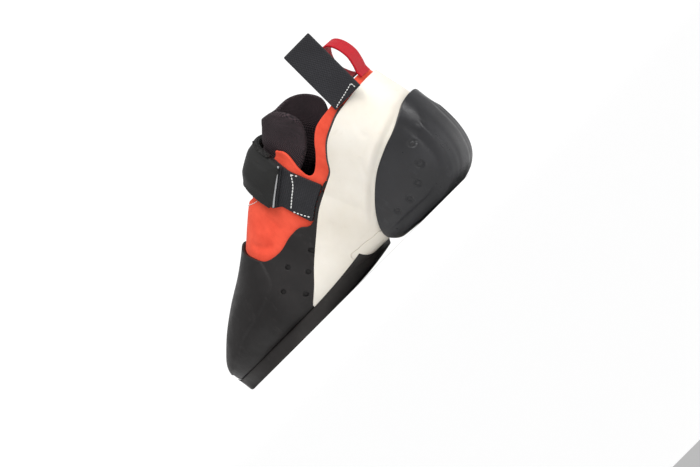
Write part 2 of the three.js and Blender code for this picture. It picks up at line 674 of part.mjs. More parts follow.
// The loop's centre line over the collar at the heel, from its root outside the wall to its end
// on the collar's edge: back is the share of the loop's height that a point lies behind the
// edge, up is its height share
const LOOP_LINE = [
  { back: 0.045, up: -0.10 }, { back: 0.050, up: 0.05 }, { back: 0.150, up: 0.22 },
  { back: 0.200, up: 0.48 }, { back: 0.140, up: 0.78 }, { back: 0.000, up: 0.97 },
  { back: -0.160, up: 0.97 }, { back: -0.340, up: 0.76 }, { back: -0.400, up: 0.48 },
  { back: -0.300, up: 0.20 }, { back: -0.185, up: 0.045 },
];
const LOOP_MIDDLE = 0.06;
const LOOP_ROOT_ROW = 19.8;
const LOOP_ROOT_GAP = 0.4;
const LOOP_ROOT_POINTS = 2;
function makePullLoop() {
  const rim = HEEL_HEIGHT * COLLAR_EDGE[0].z;
  const wall = column(SECTIONS, 'backX', LOOP_ROOT_ROW) * LAST_LENGTH;
  const half = WEBBING_THICKNESS / 2;
  const outsideX = wall - GLUE_GAP - half;
  const points = LOOP_LINE.map(({ back, up }, i) => {
    const x = wall + UPPER_WALL / 2 - back * LOOP_HEIGHT;
    const clear = i < LOOP_ROOT_POINTS ? Math.min(x, outsideX - LOOP_ROOT_GAP) : x;
    return new THREE.Vector2(clear, rim + up * LOOP_HEIGHT);
  });
  const line = smooth(points);
  const side = (sign) => line.map((point, i) => {
    const along = line[Math.min(i + 1, line.length - 1)].clone().sub(line[Math.max(i - 1, 0)]).normalize();
    return new THREE.Vector2(point.x - sign * along.y * half, point.y + sign * along.x * half);
  });
  const middle = LOOP_MIDDLE * HEEL_WIDTH;
  return sideBlock([...side(1), ...side(-1).reverse()], middle - LOOP_WIDTH / 2, middle + LOOP_WIDTH / 2);
}

const RUBBER = { color: 0x2a2727, roughness: 0.55, metalness: 0 };
const WHITE_RUBBER = { color: 0xf2ede5, roughness: 0.6, metalness: 0 };
const MICROFIBRE = { color: 0xee5340, roughness: 0.9, metalness: 0 };
const KNIT = { color: 0x1d191c, roughness: 0.95, metalness: 0 };
const WEBBING = { color: 0x2b2c31, roughness: 0.85, metalness: 0 };
const RED_WEBBING = { color: 0xc5001c, roughness: 0.8, metalness: 0 };
const BOARD = { color: 0xe9dcb4, roughness: 0.8, metalness: 0 };

const PIECES = [
  { name: 'outsole', make: makeOutsole, look: RUBBER },
  { name: 'midsole', make: makeMidsole, look: BOARD },
  { name: 'upper', make: makeUpper, look: MICROFIBRE },
  { name: 'insole', make: makeInsole, look: KNIT },
  { name: 'tongue', make: makeTongue, look: KNIT },
  { name: 'toe_rand', make: makeToeRand, look: RUBBER },
  { name: 'heel_rand', make: makeHeelRand, look: WHITE_RUBBER },
  { name: 'arch_panel', make: makeArchPanel, look: WHITE_RUBBER },
  { name: 'heel_cup', make: makeHeelCup, look: RUBBER },
  { name: 'strap_anchor', make: makeAnchor, look: WEBBING },
  { name: 'strap', make: makeStrap, look: WEBBING },
  { name: 'pull_tab', make: makePullTab, look: WEBBING },
  { name: 'pull_loop', make: makePullLoop, look: RED_WEBBING },
];

function toMesh({ name, make, look }) {
  const solid = make();
  const { vertProperties, triVerts } = solid.getMesh();
  const geometry = new THREE.BufferGeometry();
  geometry.setAttribute('position', new THREE.BufferAttribute(vertProperties, 3));
  geometry.setIndex(new THREE.BufferAttribute(triVerts, 1));
  const mesh = new THREE.Mesh(geometry, new THREE.MeshStandardMaterial(look));
  mesh.name = name;
  return mesh;
}

const shoe = new THREE.Group();
PIECES.forEach((piece) => shoe.add(toMesh(piece)));

// The origin is on the ground, in the middle of the shoe's length and width
const size = new THREE.Box3().setFromObject(shoe);
const centre = size.getCenter(new THREE.Vector3());
shoe.position.set(-centre.x, -centre.y, 0);

export default shoe;
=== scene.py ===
import math

import bpy
import numpy as np
from mathutils import Matrix, Vector
from mathutils.bvhtree import BVHTree


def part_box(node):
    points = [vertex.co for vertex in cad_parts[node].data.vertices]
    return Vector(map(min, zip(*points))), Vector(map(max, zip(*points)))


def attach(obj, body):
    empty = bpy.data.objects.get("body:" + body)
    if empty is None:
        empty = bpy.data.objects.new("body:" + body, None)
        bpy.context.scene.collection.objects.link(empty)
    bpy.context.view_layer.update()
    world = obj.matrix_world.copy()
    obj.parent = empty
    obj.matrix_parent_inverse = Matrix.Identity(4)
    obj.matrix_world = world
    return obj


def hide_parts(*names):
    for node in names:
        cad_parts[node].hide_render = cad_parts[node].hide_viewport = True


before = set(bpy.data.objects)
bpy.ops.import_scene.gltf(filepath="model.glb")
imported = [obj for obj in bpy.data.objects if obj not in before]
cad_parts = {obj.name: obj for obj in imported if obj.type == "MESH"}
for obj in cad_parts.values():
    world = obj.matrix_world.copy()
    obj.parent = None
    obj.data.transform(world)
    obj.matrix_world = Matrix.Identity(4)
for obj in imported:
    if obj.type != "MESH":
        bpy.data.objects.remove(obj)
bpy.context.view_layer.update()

# Sizes of the last and of its layers
MM = 0.001
LAST_LENGTH = 236.5
BALL_WIDTH = 78
HEEL_WIDTH = 52
INSTEP_HEIGHT = 81
HEEL_HEIGHT = 92
UPPER_WALL = 1.8
RAND_THICKNESS = 1.8
CUP_SIDE_THICKNESS = 2.2
CUP_BAND_THICKNESS = 4.8
SOLE_THICKNESS = 4.5
SOLE_EDGE_HEIGHT = 9.5
INSOLE_THICKNESS = 2.4
TONGUE_THICKNESS = 3.2
STRAP_THICKNESS = 5.0
ANCHOR_THICKNESS = 1.8
WEBBING_THICKNESS = 1.5
TAB_WIDTH = 22
TAB_HEIGHT = 46
LOOP_WIDTH = 15
LOOP_HEIGHT = 27
THROAT_WIDTH = 25
MIDSOLE_INSET = 7
LASTING_MARGIN = 5
RAND_HOLE_DIAMETER = 3.4
SOLE_SLOT_LENGTH = 27
SOLE_SLOT_WIDTH = 8
SOLE_HOLE_DIAMETER = 5
GLUE_GAP = 0.3

RAND_IN = GLUE_GAP
RAND_OUT = RAND_IN + RAND_THICKNESS
OVER_RAND = RAND_OUT + GLUE_GAP
LINING = -UPPER_WALL - GLUE_GAP
ANCHOR_OUT = GLUE_GAP + ANCHOR_THICKNESS
STRAP_IN = ANCHOR_OUT + GLUE_GAP
GROUND_TO_UPPER = SOLE_THICKNESS + OVER_RAND
FAR = 400.0

# Sections of the last, as in the part
SECTION_COLUMNS = (
    "backX", "backZ", "frontX", "frontZ", "inner", "outer", "heel", "ridge", "belly", "floor", "crown",
)
SECTIONS = (
    (1.000, 0.085, 1.000, 0.085, 0.000, 0.000, 0.00, 0.00, 0.40, 2.4, 2.0),
    (0.990, 0.036, 0.993, 0.145, 0.115, 0.125, 0.00, 0.02, 0.40, 2.8, 2.0),
    (0.966, 0.014, 0.973, 0.208, 0.215, 0.225, 0.00, 0.05, 0.40, 3.2, 2.0),
    (0.928, 0.004, 0.938, 0.282, 0.303, 0.295, 0.00, 0.08, 0.38, 3.5, 1.9),
    (0.873, 0.000, 0.888, 0.388, 0.385, 0.355, 0.00, 0.10, 0.36, 3.7, 1.8),
    (0.805, 0.000, 0.824, 0.505, 0.455, 0.390, 0.00, 0.11, 0.34, 3.8, 1.7),
    (0.729, 0.000, 0.756, 0.612, 0.503, 0.412, 0.00, 0.12, 0.32, 3.8, 1.6),
    (0.657, 0.004, 0.693, 0.728, 0.487, 0.430, 0.00, 0.13, 0.30, 3.7, 1.6),
    (0.580, 0.014, 0.633, 0.855, 0.423, 0.435, 0.00, 0.15, 0.29, 3.4, 1.7),
    (0.500, 0.025, 0.578, 0.966, 0.392, 0.470, 0.25, 0.18, 0.28, 3.1, 1.8),
    (0.424, 0.030, 0.527, 1.050, 0.385, 0.515, 0.50, 0.20, 0.28, 2.8, 1.8),
    (0.347, 0.022, 0.489, 1.118, 0.410, 0.548, 0.75, 0.20, 0.29, 2.9, 1.9),
    (0.271, 0.005, 0.456, 1.172, 0.452, 0.555, 1.00, 0.18, 0.30, 3.0, 2.0),
    (0.195, -0.005, 0.431, 1.210, 0.462, 0.540, 1.00, 0.15, 0.32, 3.1, 2.1),
    (0.127, -0.002, 0.416, 1.242, 0.471, 0.540, 1.00, 0.15, 0.35, 3.2, 2.2),
    (0.078, 0.070, 0.404, 1.273, 0.480, 0.540, 1.00, 0.15, 0.38, 3.1, 2.2),
    (0.055, 0.223, 0.393, 1.303, 0.485, 0.540, 1.00, 0.14, 0.41, 2.8, 2.2),
    (0.052, 0.433, 0.383, 1.333, 0.485, 0.535, 1.00, 0.13, 0.44, 2.5, 2.2),
    (0.058, 0.656, 0.373, 1.363, 0.477, 0.527, 1.00, 0.11, 0.46, 2.3, 2.2),
    (0.074, 0.878, 0.362, 1.397, 0.469, 0.515, 1.00, 0.09, 0.48, 2.2, 2.2),
    (0.088, 1.100, 0.346, 1.435, 0.458, 0.500, 1.00, 0.05, 0.50, 2.1, 2.1),
    (0.096, 1.335, 0.336, 1.490, 0.433, 0.477, 1.00, 0.04, 0.50, 2.0, 2.0),
)

# Edge of the sole's tread: share of length, inner and outer half width, rise
SOLE_COLUMNS = ("x", "inner", "outer", "rise")
SOLE_SECTIONS = (
    (1.0127, 0.013, 0.080, 0.50),
    (1.0000, 0.090, 0.140, 0.18),
    (0.9725, 0.192, 0.220, 0.00),
    (0.9175, 0.320, 0.310, 0.00),
    (0.8540, 0.429, 0.375, 0.00),
    (0.7930, 0.494, 0.408, 0.00),
    (0.7230, 0.528, 0.424, 0.00),
    (0.6890, 0.506, 0.424, 0.00),
    (0.6470, 0.417, 0.420, 0.00),
    (0.6000, 0.308, 0.412, 0.07),
    (0.5500, 0.205, 0.365, 0.22),
    (0.5000, 0.132, 0.300, 0.45),
    (0.4570, 0.058, 0.245, 0.70),
    (0.4310, -0.077, 0.218, 0.90),
)

# Outlines seen from the side, as shares of the length and of the instep height above the sole,
# or of the heel height for the collar
COLLAR_EDGE = (
    (0.050, 1.005), (0.106, 1.005), (0.170, 0.985), (0.228, 0.967), (0.254, 0.940), (0.280, 0.890),
    (0.300, 0.837), (0.326, 0.783), (0.351, 0.750), (0.368, 0.766), (0.374, 0.848), (0.372, 0.957),
    (0.380, 1.010), (0.400, 1.045), (0.450, 1.130), (0.560, 1.400),
)
TENSION_EDGE = (
    (0.620, 0.035), (0.573, 0.136), (0.528, 0.263), (0.472, 0.399), (0.419, 0.516), (0.383, 0.575),
    (0.332, 0.640),
)
COLLAR_RAND_EDGE = (
    (0.304, 0.674), (0.279, 0.750), (0.245, 0.827), (0.201, 0.881), (0.170, 0.910), (0.131, 0.929),
    (0.076, 0.947), (0.000, 0.955),
)
TOE_RAND_TOP = (
    (0.332, 0.668), (0.368, 0.632), (0.403, 0.586), (0.446, 0.508), (0.466, 0.508), (0.488, 0.550),
    (0.525, 0.552), (0.570, 0.524), (0.620, 0.553), (0.649, 0.640), (0.677, 0.742), (0.693, 0.900),
)
CUP_EDGE = (
    (0.000, 0.690), (0.030, 0.680), (0.059, 0.620), (0.093, 0.560), (0.140, 0.507), (0.205, 0.421),
    (0.262, 0.304), (0.309, 0.168), (0.338, 0.038), (0.338, -0.050), (0.325, -0.200),
)
ARCH_EDGE = (
    (0.325, -0.200), (0.334, 0.060), (0.370, 0.095), (0.420, 0.110), (0.452, 0.090), (0.470, -0.200),
)
INSOLE_EDGE = (
    (0.100, -0.200), (0.100, 0.115), (0.190, 0.095), (0.347, 0.160), (0.500, 0.150), (0.655, 0.105),
    (0.846, 0.100), (0.935, 0.110), (0.935, -0.200),
)
TONGUE_EDGE = (
    (0.615, 0.735), (0.640, 1.000), (0.530, 1.400), (0.430, 1.500), (0.400, 1.372), (0.372, 1.335),
    (0.330, 1.330), (0.296, 1.260), (0.275, 1.150), (0.282, 1.050), (0.310, 0.960), (0.350, 0.895),
    (0.402, 0.845), (0.470, 0.795), (0.550, 0.745),
)
ANCHOR_EDGE = (
    (0.351, 0.640), (0.399, 0.915), (0.413, 1.075), (0.432, 1.125), (0.520, 0.880), (0.505, 0.800),
    (0.481, 0.760), (0.447, 0.500),
)
STRAP_INNER_EDGE = (
    (0.404, 1.000), (0.410, 1.075), (0.435, 1.290), (0.480, 1.500), (0.620, 1.300), (0.540, 1.080),
    (0.521, 0.930), (0.503, 0.795),
)
STRAP_OUTER_EDGE = (
    (0.351, 0.690), (0.399, 0.930), (0.435, 1.290), (0.480, 1.500), (0.620, 1.300), (0.540, 1.080),
    (0.505, 0.795), (0.456, 0.575),
)
RAND_HOLES = ((0.506, 0.363), (0.552, 0.257), (0.600, 0.148), (0.582, 0.396), (0.635, 0.286))

# The frame's place of the point at the back of the heel
HEEL_BACK = Vector((
    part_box("outsole")[1].x / MM - SOLE_SECTIONS[0][0] * LAST_LENGTH,
    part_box("outsole")[1].y / MM - max(row[1] for row in SOLE_SECTIONS) * BALL_WIDTH,
    0.0,
))


def lift(share):
    """Height above the ground of a share of the instep height above the sole."""
    return GROUND_TO_UPPER + share * INSTEP_HEIGHT


def beside_sole(rows):
    """Points seen from the side, from shares of the length and of the instep height."""
    return np.array([(x * LAST_LENGTH, lift(z)) for x, z in rows])


def beside_heel(rows):
    """Points seen from the side, from shares of the length and of the heel height."""
    return np.array([(x * LAST_LENGTH, z * HEEL_HEIGHT) for x, z in rows])


def curve_at(values, place):
    """Value on a smooth curve through a table's column, at fractional rows."""
    values = np.asarray(values, float)
    row = np.clip(np.floor(place).astype(int), 0, len(values) - 2)
    t = place - row
    a, b, c, d = (values[np.clip(row + k, 0, len(values) - 1)] for k in (-1, 0, 1, 2))
    return b + 0.5 * t * (c - a + t * (2 * a - 5 * b + 4 * c - d + t * (3 * (b - c) + d - a)))


def smooth(points, closed=False, steps=8):
    """A smooth line through points, with some steps for each."""
    points = np.asarray(points, float)
    if closed:
        points = np.vstack([points, points[:1]])
    place = np.linspace(0, len(points) - 1, (len(points) - 1) * steps + 1)
    line = np.stack([curve_at(points[:, k], place) for k in range(points.shape[1])], 1)
    return line[:-1] if closed else line


def widened(points, distance):
    """A closed outline moved outwards."""
    after = np.roll(points, -1, 0) - np.roll(points, 1, 0)
    after /= np.linalg.norm(after, axis=1)[:, None]
    x, y = points[:, 0], points[:, 1]
    area = np.sum(x * np.roll(y, -1) - np.roll(x, -1) * y)
    sign = 1 if area > 0 else -1
    return points + sign * distance * np.stack([after[:, 1], -after[:, 0]], 1)


# Fields: the distance to the edge of a region, above 0 inside, and its direction of growth
def outline_distance(points, outline):
    """Distance to a closed outline, above 0 inside, and the way in which it grows."""
    start = np.asarray(outline, float)
    end = np.roll(start, -1, 0)
    best = np.full(len(points), np.inf)
    nearest = np.zeros((len(points), 2))
    inside = np.zeros(len(points), bool)
    for a, b in zip(start, end):
        along = b - a
        size = along @ along
        if size < 1e-12:
            continue
        share = np.clip(((points - a) @ along) / size, 0, 1)
        foot = a + share[:, None] * along
        gap = np.sum((points - foot) ** 2, 1)
        closer = gap < best
        best[closer] = gap[closer]
        nearest[closer] = foot[closer]
        crosses = (a[1] > points[:, 1]) != (b[1] > points[:, 1])
        if a[1] != b[1]:
            at = a[0] + (points[:, 1] - a[1]) * (b[0] - a[0]) / (b[1] - a[1])
            inside ^= crosses & (points[:, 0] < at)
    distance = np.sqrt(best)
    sign = np.where(inside, 1.0, -1.0)
    grow = (points - nearest) / np.maximum(distance, 1e-9)[:, None] * sign[:, None]
    return distance * sign, grow


def side_field(outline):
    """Inside of an outline seen from the side."""
    def field(p):
        d, g = outline_distance(p[:, [0, 2]], outline)
        return d, np.stack([g[:, 0], np.zeros(len(g)), g[:, 1]], 1)
    return field


def plan_field(outline):
    """Inside of an outline seen from above."""
    def field(p):
        d, g = outline_distance(p[:, [0, 1]], outline)
        return d, np.stack([g[:, 0], g[:, 1], np.zeros(len(g))], 1)
    return field


def hole_field(centre, radius, axes=(0, 2)):
    """Outside of a round hole along the axis that isn't named."""
    def field(p):
        away = p[:, axes] - np.asarray(centre, float)
        far = np.maximum(np.linalg.norm(away, axis=1), 1e-9)
        g = np.zeros((len(p), 3))
        g[:, axes[0]] = away[:, 0] / far
        g[:, axes[1]] = away[:, 1] / far
        return far - radius, g
    return field


def outside(field):
    """Everything that a field leaves out."""
    def opposite(p):
        d, g = field(p)
        return -d, -g
    return opposite


def all_of(*fields):
    """Where every field is above 0."""
    def least(p):
        d, g = fields[0](p)
        for field in fields[1:]:
            other, way = field(p)
            less = other < d
            d = np.where(less, other, d)
            g = np.where(less[:, None], way, g)
        return d, g
    return least


def any_of(*fields):
    """Where one field at least is above 0."""
    return outside(all_of(*(outside(field) for field in fields)))


def by_side(inner, outer, middle):
    """One field on the inner side of a middle line and another on the outer side."""
    def field(p):
        first, second = inner(p), outer(p)
        is_inner = p[:, 1] > middle
        distance = np.where(is_inner, first[0], second[0])
        return distance, np.where(is_inner[:, None], first[1], second[1])
    return field


# The last as a fine sheet
def quarter(size, half, power, shares):
    """Points at shares of the length of a quarter of a superellipse."""
    angle = np.linspace(0, math.pi / 2, 240)
    along = size * np.sin(angle) ** (2 / power)
    across = half * np.cos(angle) ** (2 / power)
    length = np.concatenate([[0], np.cumsum(np.hypot(np.diff(along), np.diff(across)))])
    goal = shares * length[-1]
    return np.interp(goal, length, along), np.interp(goal, length, across)


def last_ring(place, steps):
    """One ring round the last at a place among the sections, which may be fractional."""
    values = [float(curve_at(column, np.array(place))) for column in zip(*SECTIONS)]
    get = dict(zip(SECTION_COLUMNS, values))
    back = np.array([get["backX"] * LAST_LENGTH, lift(get["backZ"])])
    front = np.array([get["frontX"] * LAST_LENGTH, lift(get["frontZ"])])
    tall = np.linalg.norm(front - back)
    width = BALL_WIDTH + (HEEL_WIDTH - BALL_WIDTH) * min(1, max(0, get["heel"]))
    shares = np.linspace(0, 1, steps + 1)
    halves = []
    for side in ("inner", "outer"):
        half = max(get[side] * width / tall, 0)
        low, low_across = quarter(get["belly"], half, get["floor"], shares)
        high, high_across = quarter(1 - get["belly"], half, get["crown"], shares)
        height = np.concatenate([get["belly"] - low[::-1], get["belly"] + high[1:]])
        across = np.concatenate([low_across[::-1], high_across[1:]]) * tall
        halves.append((height, across))
    height = np.concatenate([halves[0][0], halves[1][0][-2:0:-1]])
    across = np.concatenate([halves[0][1], -halves[1][1][-2:0:-1]])
    lean = get["ridge"] * width * np.maximum(0, height) ** 1.5
    x = back[0] + (front[0] - back[0]) * height
    z = back[1] + (front[1] - back[1]) * height
    return np.stack([x, across + lean, z], 1)


def ring_places(low, high, step):
    """Places between two rows of the sections, about a step apart along the shoe."""
    fine = np.linspace(low, high, 600)
    columns = [curve_at(column, fine) for column in list(zip(*SECTIONS))[:4]]
    back = np.stack([columns[0] * LAST_LENGTH, columns[1] * INSTEP_HEIGHT], 1)
    front = np.stack([columns[2] * LAST_LENGTH, columns[3] * INSTEP_HEIGHT], 1)
    moves = [np.linalg.norm(np.diff(line, axis=0), axis=1) for line in (back, front)]
    move = np.maximum(*moves)
    length = np.concatenate([[0], np.cumsum(move)])
    count = max(8, int(length[-1] / step))
    return np.interp(np.linspace(0, length[-1], count), length, fine)


TOE_POINT = np.array([LAST_LENGTH * SECTIONS[0][2], 0, lift(SECTIONS[0][3])])


class Sheet:
    """A sheet of points with directions out of it, triangles, and flat coordinates for cloth."""

    def __init__(self, points, normals, triangles, flat):
        self.points = points
        self.normals = normals
        self.triangles = triangles
        self.flat = flat

    def grown(self, offset):
        """The sheet's points moved out of it, all alike or each by its own offset."""
        return self.points + self.normals * np.reshape(offset, (-1, 1))


def last_sheet(low=0.0, high=21.0, step=1.0, steps=48):
    """The last between two rows of its sections, and its toe where it starts at the first."""
    has_toe = low < 0.02
    places = ring_places(max(low, 0.02), high, step)
    rings = np.array([last_ring(place, steps) for place in places])
    rows, columns = rings.shape[:2]
    if has_toe:
        toe = np.repeat(TOE_POINT[None, None], columns, 1)
        along = np.gradient(np.concatenate([toe, rings]), axis=0)[1:]
    else:
        along = np.gradient(rings, axis=0)
    around = np.roll(rings, -1, 1) - np.roll(rings, 1, 1)
    normals = np.cross(along, around)
    normals = -normals / np.maximum(np.linalg.norm(normals, axis=2), 1e-9)[..., None]
    middle = rings.mean(1, keepdims=True)
    if np.mean(np.sum(normals * (rings - middle), 2)) < 0:
        normals = -normals
    lengths = np.cumsum(np.linalg.norm(np.diff(rings, axis=0, prepend=rings[:1]), axis=2), 0)
    girth = np.cumsum(np.linalg.norm(np.diff(rings, axis=1, prepend=rings[:, :1]), axis=2), 1)
    flat = np.stack([lengths, girth], 2)
    row = np.arange(rows - 1)[:, None] * columns
    first = np.arange(columns)[None]
    second = (first + 1) % columns
    a, b, c, d = row + first, row + columns + first, row + columns + second, row + second
    halves = [np.stack(corners, 2).reshape(-1, 3) for corners in ((a, b, c), (a, c, d))]
    triangles = np.concatenate(halves)
    points, normals, flat = rings.reshape(-1, 3), normals.reshape(-1, 3), flat.reshape(-1, 2)
    if has_toe:
        tip = len(points)
        points = np.vstack([points, TOE_POINT])
        normals = np.vstack([normals, [1, 0, 0]])
        flat = np.vstack([flat, [0, 0]])
        fan = np.stack([np.full(columns, tip), first[0], second[0]], 1)
        triangles = np.vstack([triangles, fan])
    return Sheet(points, normals, triangles, flat)


def facing_out(points, normals, triangles):
    """Whether each triangle turns the same way as the direction out of the sheet."""
    a, b, c = (points[triangles[:, k]] for k in range(3))
    cross = np.cross(b - a, c - a)
    return np.sum(cross * normals[triangles[:, 0]], 1) > 0


# Cutting a sheet at the edge of its region, and closing it as a solid with soft edges
def cut_sheet(sheet, top, bottom, value):
    """Keeps the part of a sheet where value is above 0, with new points on the edge."""
    keep = value > 0
    tri = sheet.triangles
    state = keep[tri]
    count = state.sum(1)
    whole = tri[count == 3]
    data = np.hstack([top, bottom, sheet.normals, sheet.flat])
    pairs, pieces = [], []
    for wanted in (1, 2):
        chosen = tri[count == wanted]
        odd = np.argmax(state[count == wanted] == (wanted == 1), 1)
        rolled = np.stack([chosen[np.arange(len(chosen)), (odd + k) % 3] for k in range(3)], 1)
        pieces.append(rolled)
        pairs.append(rolled[:, [0, 1]])
        pairs.append(rolled[:, [0, 2]])
    edges = np.sort(np.vstack(pairs), 1)
    unique, index = np.unique(edges, axis=0, return_inverse=True)
    index = index.reshape(-1)
    va, vb = value[unique[:, 0]], value[unique[:, 1]]
    share = (va / (va - vb))[:, None]
    fresh = data[unique[:, 0]] * (1 - share) + data[unique[:, 1]] * share
    base = len(data)
    sizes = [len(part) for part in pairs]
    starts = np.concatenate([[0], np.cumsum(sizes)])
    ids = [base + index[starts[k]:starts[k + 1]] for k in range(4)]
    ones, twos = pieces
    small = np.stack([ones[:, 0], ids[0], ids[1]], 1)
    left = np.stack([ids[2], twos[:, 1], twos[:, 2]], 1)
    right = np.stack([ids[2], twos[:, 2], ids[3]], 1)
    triangles = np.vstack([whole, small, left, right])
    data = np.vstack([data, fresh])
    on_cut = np.zeros(len(data), bool)
    on_cut[base:] = True
    used, triangles = np.unique(triangles, return_inverse=True)
    triangles = triangles.reshape(-1, 3)
    data, on_cut = data[used], on_cut[used]
    good = (triangles[:, 0] != triangles[:, 1]) & (triangles[:, 1] != triangles[:, 2])
    good &= triangles[:, 0] != triangles[:, 2]
    return data, triangles[good], on_cut


def boundary_edges(triangles):
    """The edges that only one triangle has."""
    edges = np.vstack([triangles[:, [0, 1]], triangles[:, [1, 2]], triangles[:, [2, 0]]])
    key = np.sort(edges, 1)
    _, index, count = np.unique(key, axis=0, return_index=True, return_counts=True)
    return edges[index[count == 1]]


LEAST_SLOPE = 0.25
LEAST_THICKNESS = 0.02
ROUND_STEPS = 5
EDGE_CLOTH_SHARE = 0.7


def along_sheet(way, normals):
    """The part of each direction that lies in the sheet."""
    return way - np.sum(way * normals, 1)[:, None] * normals


def edge_ways(field, points, normals, on_cut, radius):
    """The way out of the region at the edge's points, and how far the edge is rounded there."""
    way = along_sheet(field(points)[1], normals)
    way /= np.maximum(np.linalg.norm(way, axis=1), 1e-6)[:, None]
    return np.where(on_cut[:, None], -way, 0), np.where(on_cut, radius, 0.0)


def edge_rings(high, low, normals, outward, size, round_under):
    """Rings of points round the edge from top to bottom, and how far along each one lies."""
    rings, arcs = [], []
    for angle in np.linspace(0, math.pi / 2, ROUND_STEPS)[1:]:
        arcs.append(size * angle)
        rings.append(high + outward * (size * math.sin(angle))[:, None]
                     - normals * (size * (1 - math.cos(angle)))[:, None])
    if round_under:
        for angle in np.linspace(math.pi / 2, math.pi, ROUND_STEPS)[:-1]:
            arcs.append(size * angle)
            rings.append(low + outward * (size * math.sin(angle))[:, None]
                         + normals * (size * (1 + math.cos(angle)))[:, None])
    return rings, arcs


def closing_faces(triangles, edges, edge_ids, count, rings):
    """Faces of the top, of the bands round the edge, and of the bottom, in this order."""
    rank = np.full(count, -1)
    rank[edge_ids] = np.arange(len(edge_ids))
    bottom = count + rings * len(edge_ids)
    bands = [count + k * len(edge_ids) + rank[edges] for k in range(rings)]
    levels = [edges] + bands + [bottom + edges]
    faces = [triangles]
    for (a0, b0), (a1, b1) in ((over.T, under.T) for over, under in zip(levels, levels[1:])):
        faces.append(np.stack([b0, a0, a1], 1))
        faces.append(np.stack([b0, a1, b1], 1))
    return np.vstack(faces + [triangles[:, ::-1] + bottom])


def close_sheet(sheet, top, bottom, field, radius, round_under, relief):
    """A closed solid between top and bottom, cut at the field's edge, its edge rounded.

    Gives points, faces, flat coordinates and the number of faces on the inner skin."""
    value, way = field(top)
    slope = np.maximum(np.linalg.norm(along_sheet(way, sheet.normals), axis=1), LEAST_SLOPE)
    data, triangles, on_cut = cut_sheet(sheet, top, bottom, value / slope - radius)
    high, low, normals, flat = data[:, 0:3], data[:, 3:6], data[:, 6:9], data[:, 9:11]
    flip = ~facing_out(high, normals, triangles)
    triangles = np.where(flip[:, None], triangles[:, ::-1], triangles)
    edges = boundary_edges(triangles)
    ids = np.unique(edges)
    outward, size = edge_ways(field, high[ids], normals[ids], on_cut[ids], radius)
    thick = np.linalg.norm(high[ids] - low[ids], axis=1)
    size = np.minimum(size, np.maximum(thick, LEAST_THICKNESS) * (0.5 if round_under else 1.0))
    if relief is not None:
        high = high + normals * relief(high, flat, normals)[:, None]
    rings, arcs = edge_rings(high[ids], low[ids], normals[ids], outward, size, round_under)
    if not round_under:
        arcs.append(thick)
        rings.append(low[ids] + outward * size[:, None])
    faces = closing_faces(triangles, edges, ids, len(high), len(rings))
    flats = [flat] + [flat[ids] + EDGE_CLOTH_SHARE * arc[:, None] for arc in arcs] + [flat]
    return np.vstack([high] + rings + [low]), faces, np.vstack(flats), len(triangles)


# Blender objects
def place_item(name, data):
    """A new object in the scene."""
    item = bpy.data.objects.new(name, data)
    bpy.context.scene.collection.objects.link(item)
    return item


def add_mesh(name, points, faces, material, flat=None):
    """A smooth-shaded mesh object from points in the shoe's millimetres."""
    mesh = bpy.data.meshes.new(name)
    place = (np.asarray(points) + np.array(HEEL_BACK)) * MM
    faces = np.asarray(faces, np.int32)
    sides = faces.shape[1]
    mesh.vertices.add(len(place))
    mesh.vertices.foreach_set("co", place.astype(np.float32).ravel())
    mesh.loops.add(faces.size)
    mesh.loops.foreach_set("vertex_index", faces.ravel())
    mesh.polygons.add(len(faces))
    mesh.polygons.foreach_set("loop_start", np.arange(0, faces.size, sides, dtype=np.int32))
    mesh.update(calc_edges=True)
    if flat is not None:
        layer = mesh.uv_layers.new(name="flat")
        corners = np.asarray(flat)[faces.ravel()] * MM
        layer.data.foreach_set("uv", corners.astype(np.float32).ravel())
    mesh.polygons.foreach_set("use_smooth", np.full(len(faces), True))
    mesh.materials.append(material)
    mesh.validate()
    return place_item(name, mesh)


def add_piece(name, points, faces, material, nodes=(), flat=None):
    """A visible piece, which rides on the shoe's body and may take the place of its solids."""
    piece = add_mesh(name, points, faces, material, flat)
    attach(piece, "root")
    if nodes:
        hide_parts(*nodes)
    return piece


# Materials
SOFT_SHINE = 0.25


def new_material(name, colour, roughness, shine=SOFT_SHINE):
    """A material with its node tree and its shader."""
    material = bpy.data.materials.new(name)
    material.use_nodes = True
    shader = material.node_tree.nodes["Principled BSDF"]
    shader.inputs["Base Color"].default_value = (*colour, 1)
    shader.inputs["Roughness"].default_value = roughness
    shader.inputs["Specular IOR Level"].default_value = shine
    return material, material.node_tree, shader


def scaled(colour, factor):
    return tuple(factor * value for value in colour)


def object_place(tree, scale=(1, 1, 1)):
    """Coordinates in the piece's own space."""
    coordinates = tree.nodes.new("ShaderNodeTexCoord")
    mapping = tree.nodes.new("ShaderNodeMapping")
    mapping.inputs["Scale"].default_value = scale
    tree.links.new(coordinates.outputs["Object"], mapping.inputs["Vector"])
    return mapping.outputs["Vector"]


def flat_place(tree, turn):
    """Coordinates along and across the cloth, turned."""
    coordinates = tree.nodes.new("ShaderNodeUVMap")
    coordinates.uv_map = "flat"
    mapping = tree.nodes.new("ShaderNodeMapping")
    mapping.inputs["Rotation"].default_value = (0, 0, turn)
    tree.links.new(coordinates.outputs["UV"], mapping.inputs["Vector"])
    return mapping.outputs["Vector"]


def noise(tree, place, scale, detail=3.0, roughness=0.55):
    """Cloudy noise between 0 and 1."""
    item = tree.nodes.new("ShaderNodeTexNoise")
    item.inputs["Scale"].default_value = scale
    item.inputs["Detail"].default_value = detail
    item.inputs["Roughness"].default_value = roughness
    tree.links.new(place, item.inputs["Vector"])
    return item.outputs["Fac"]


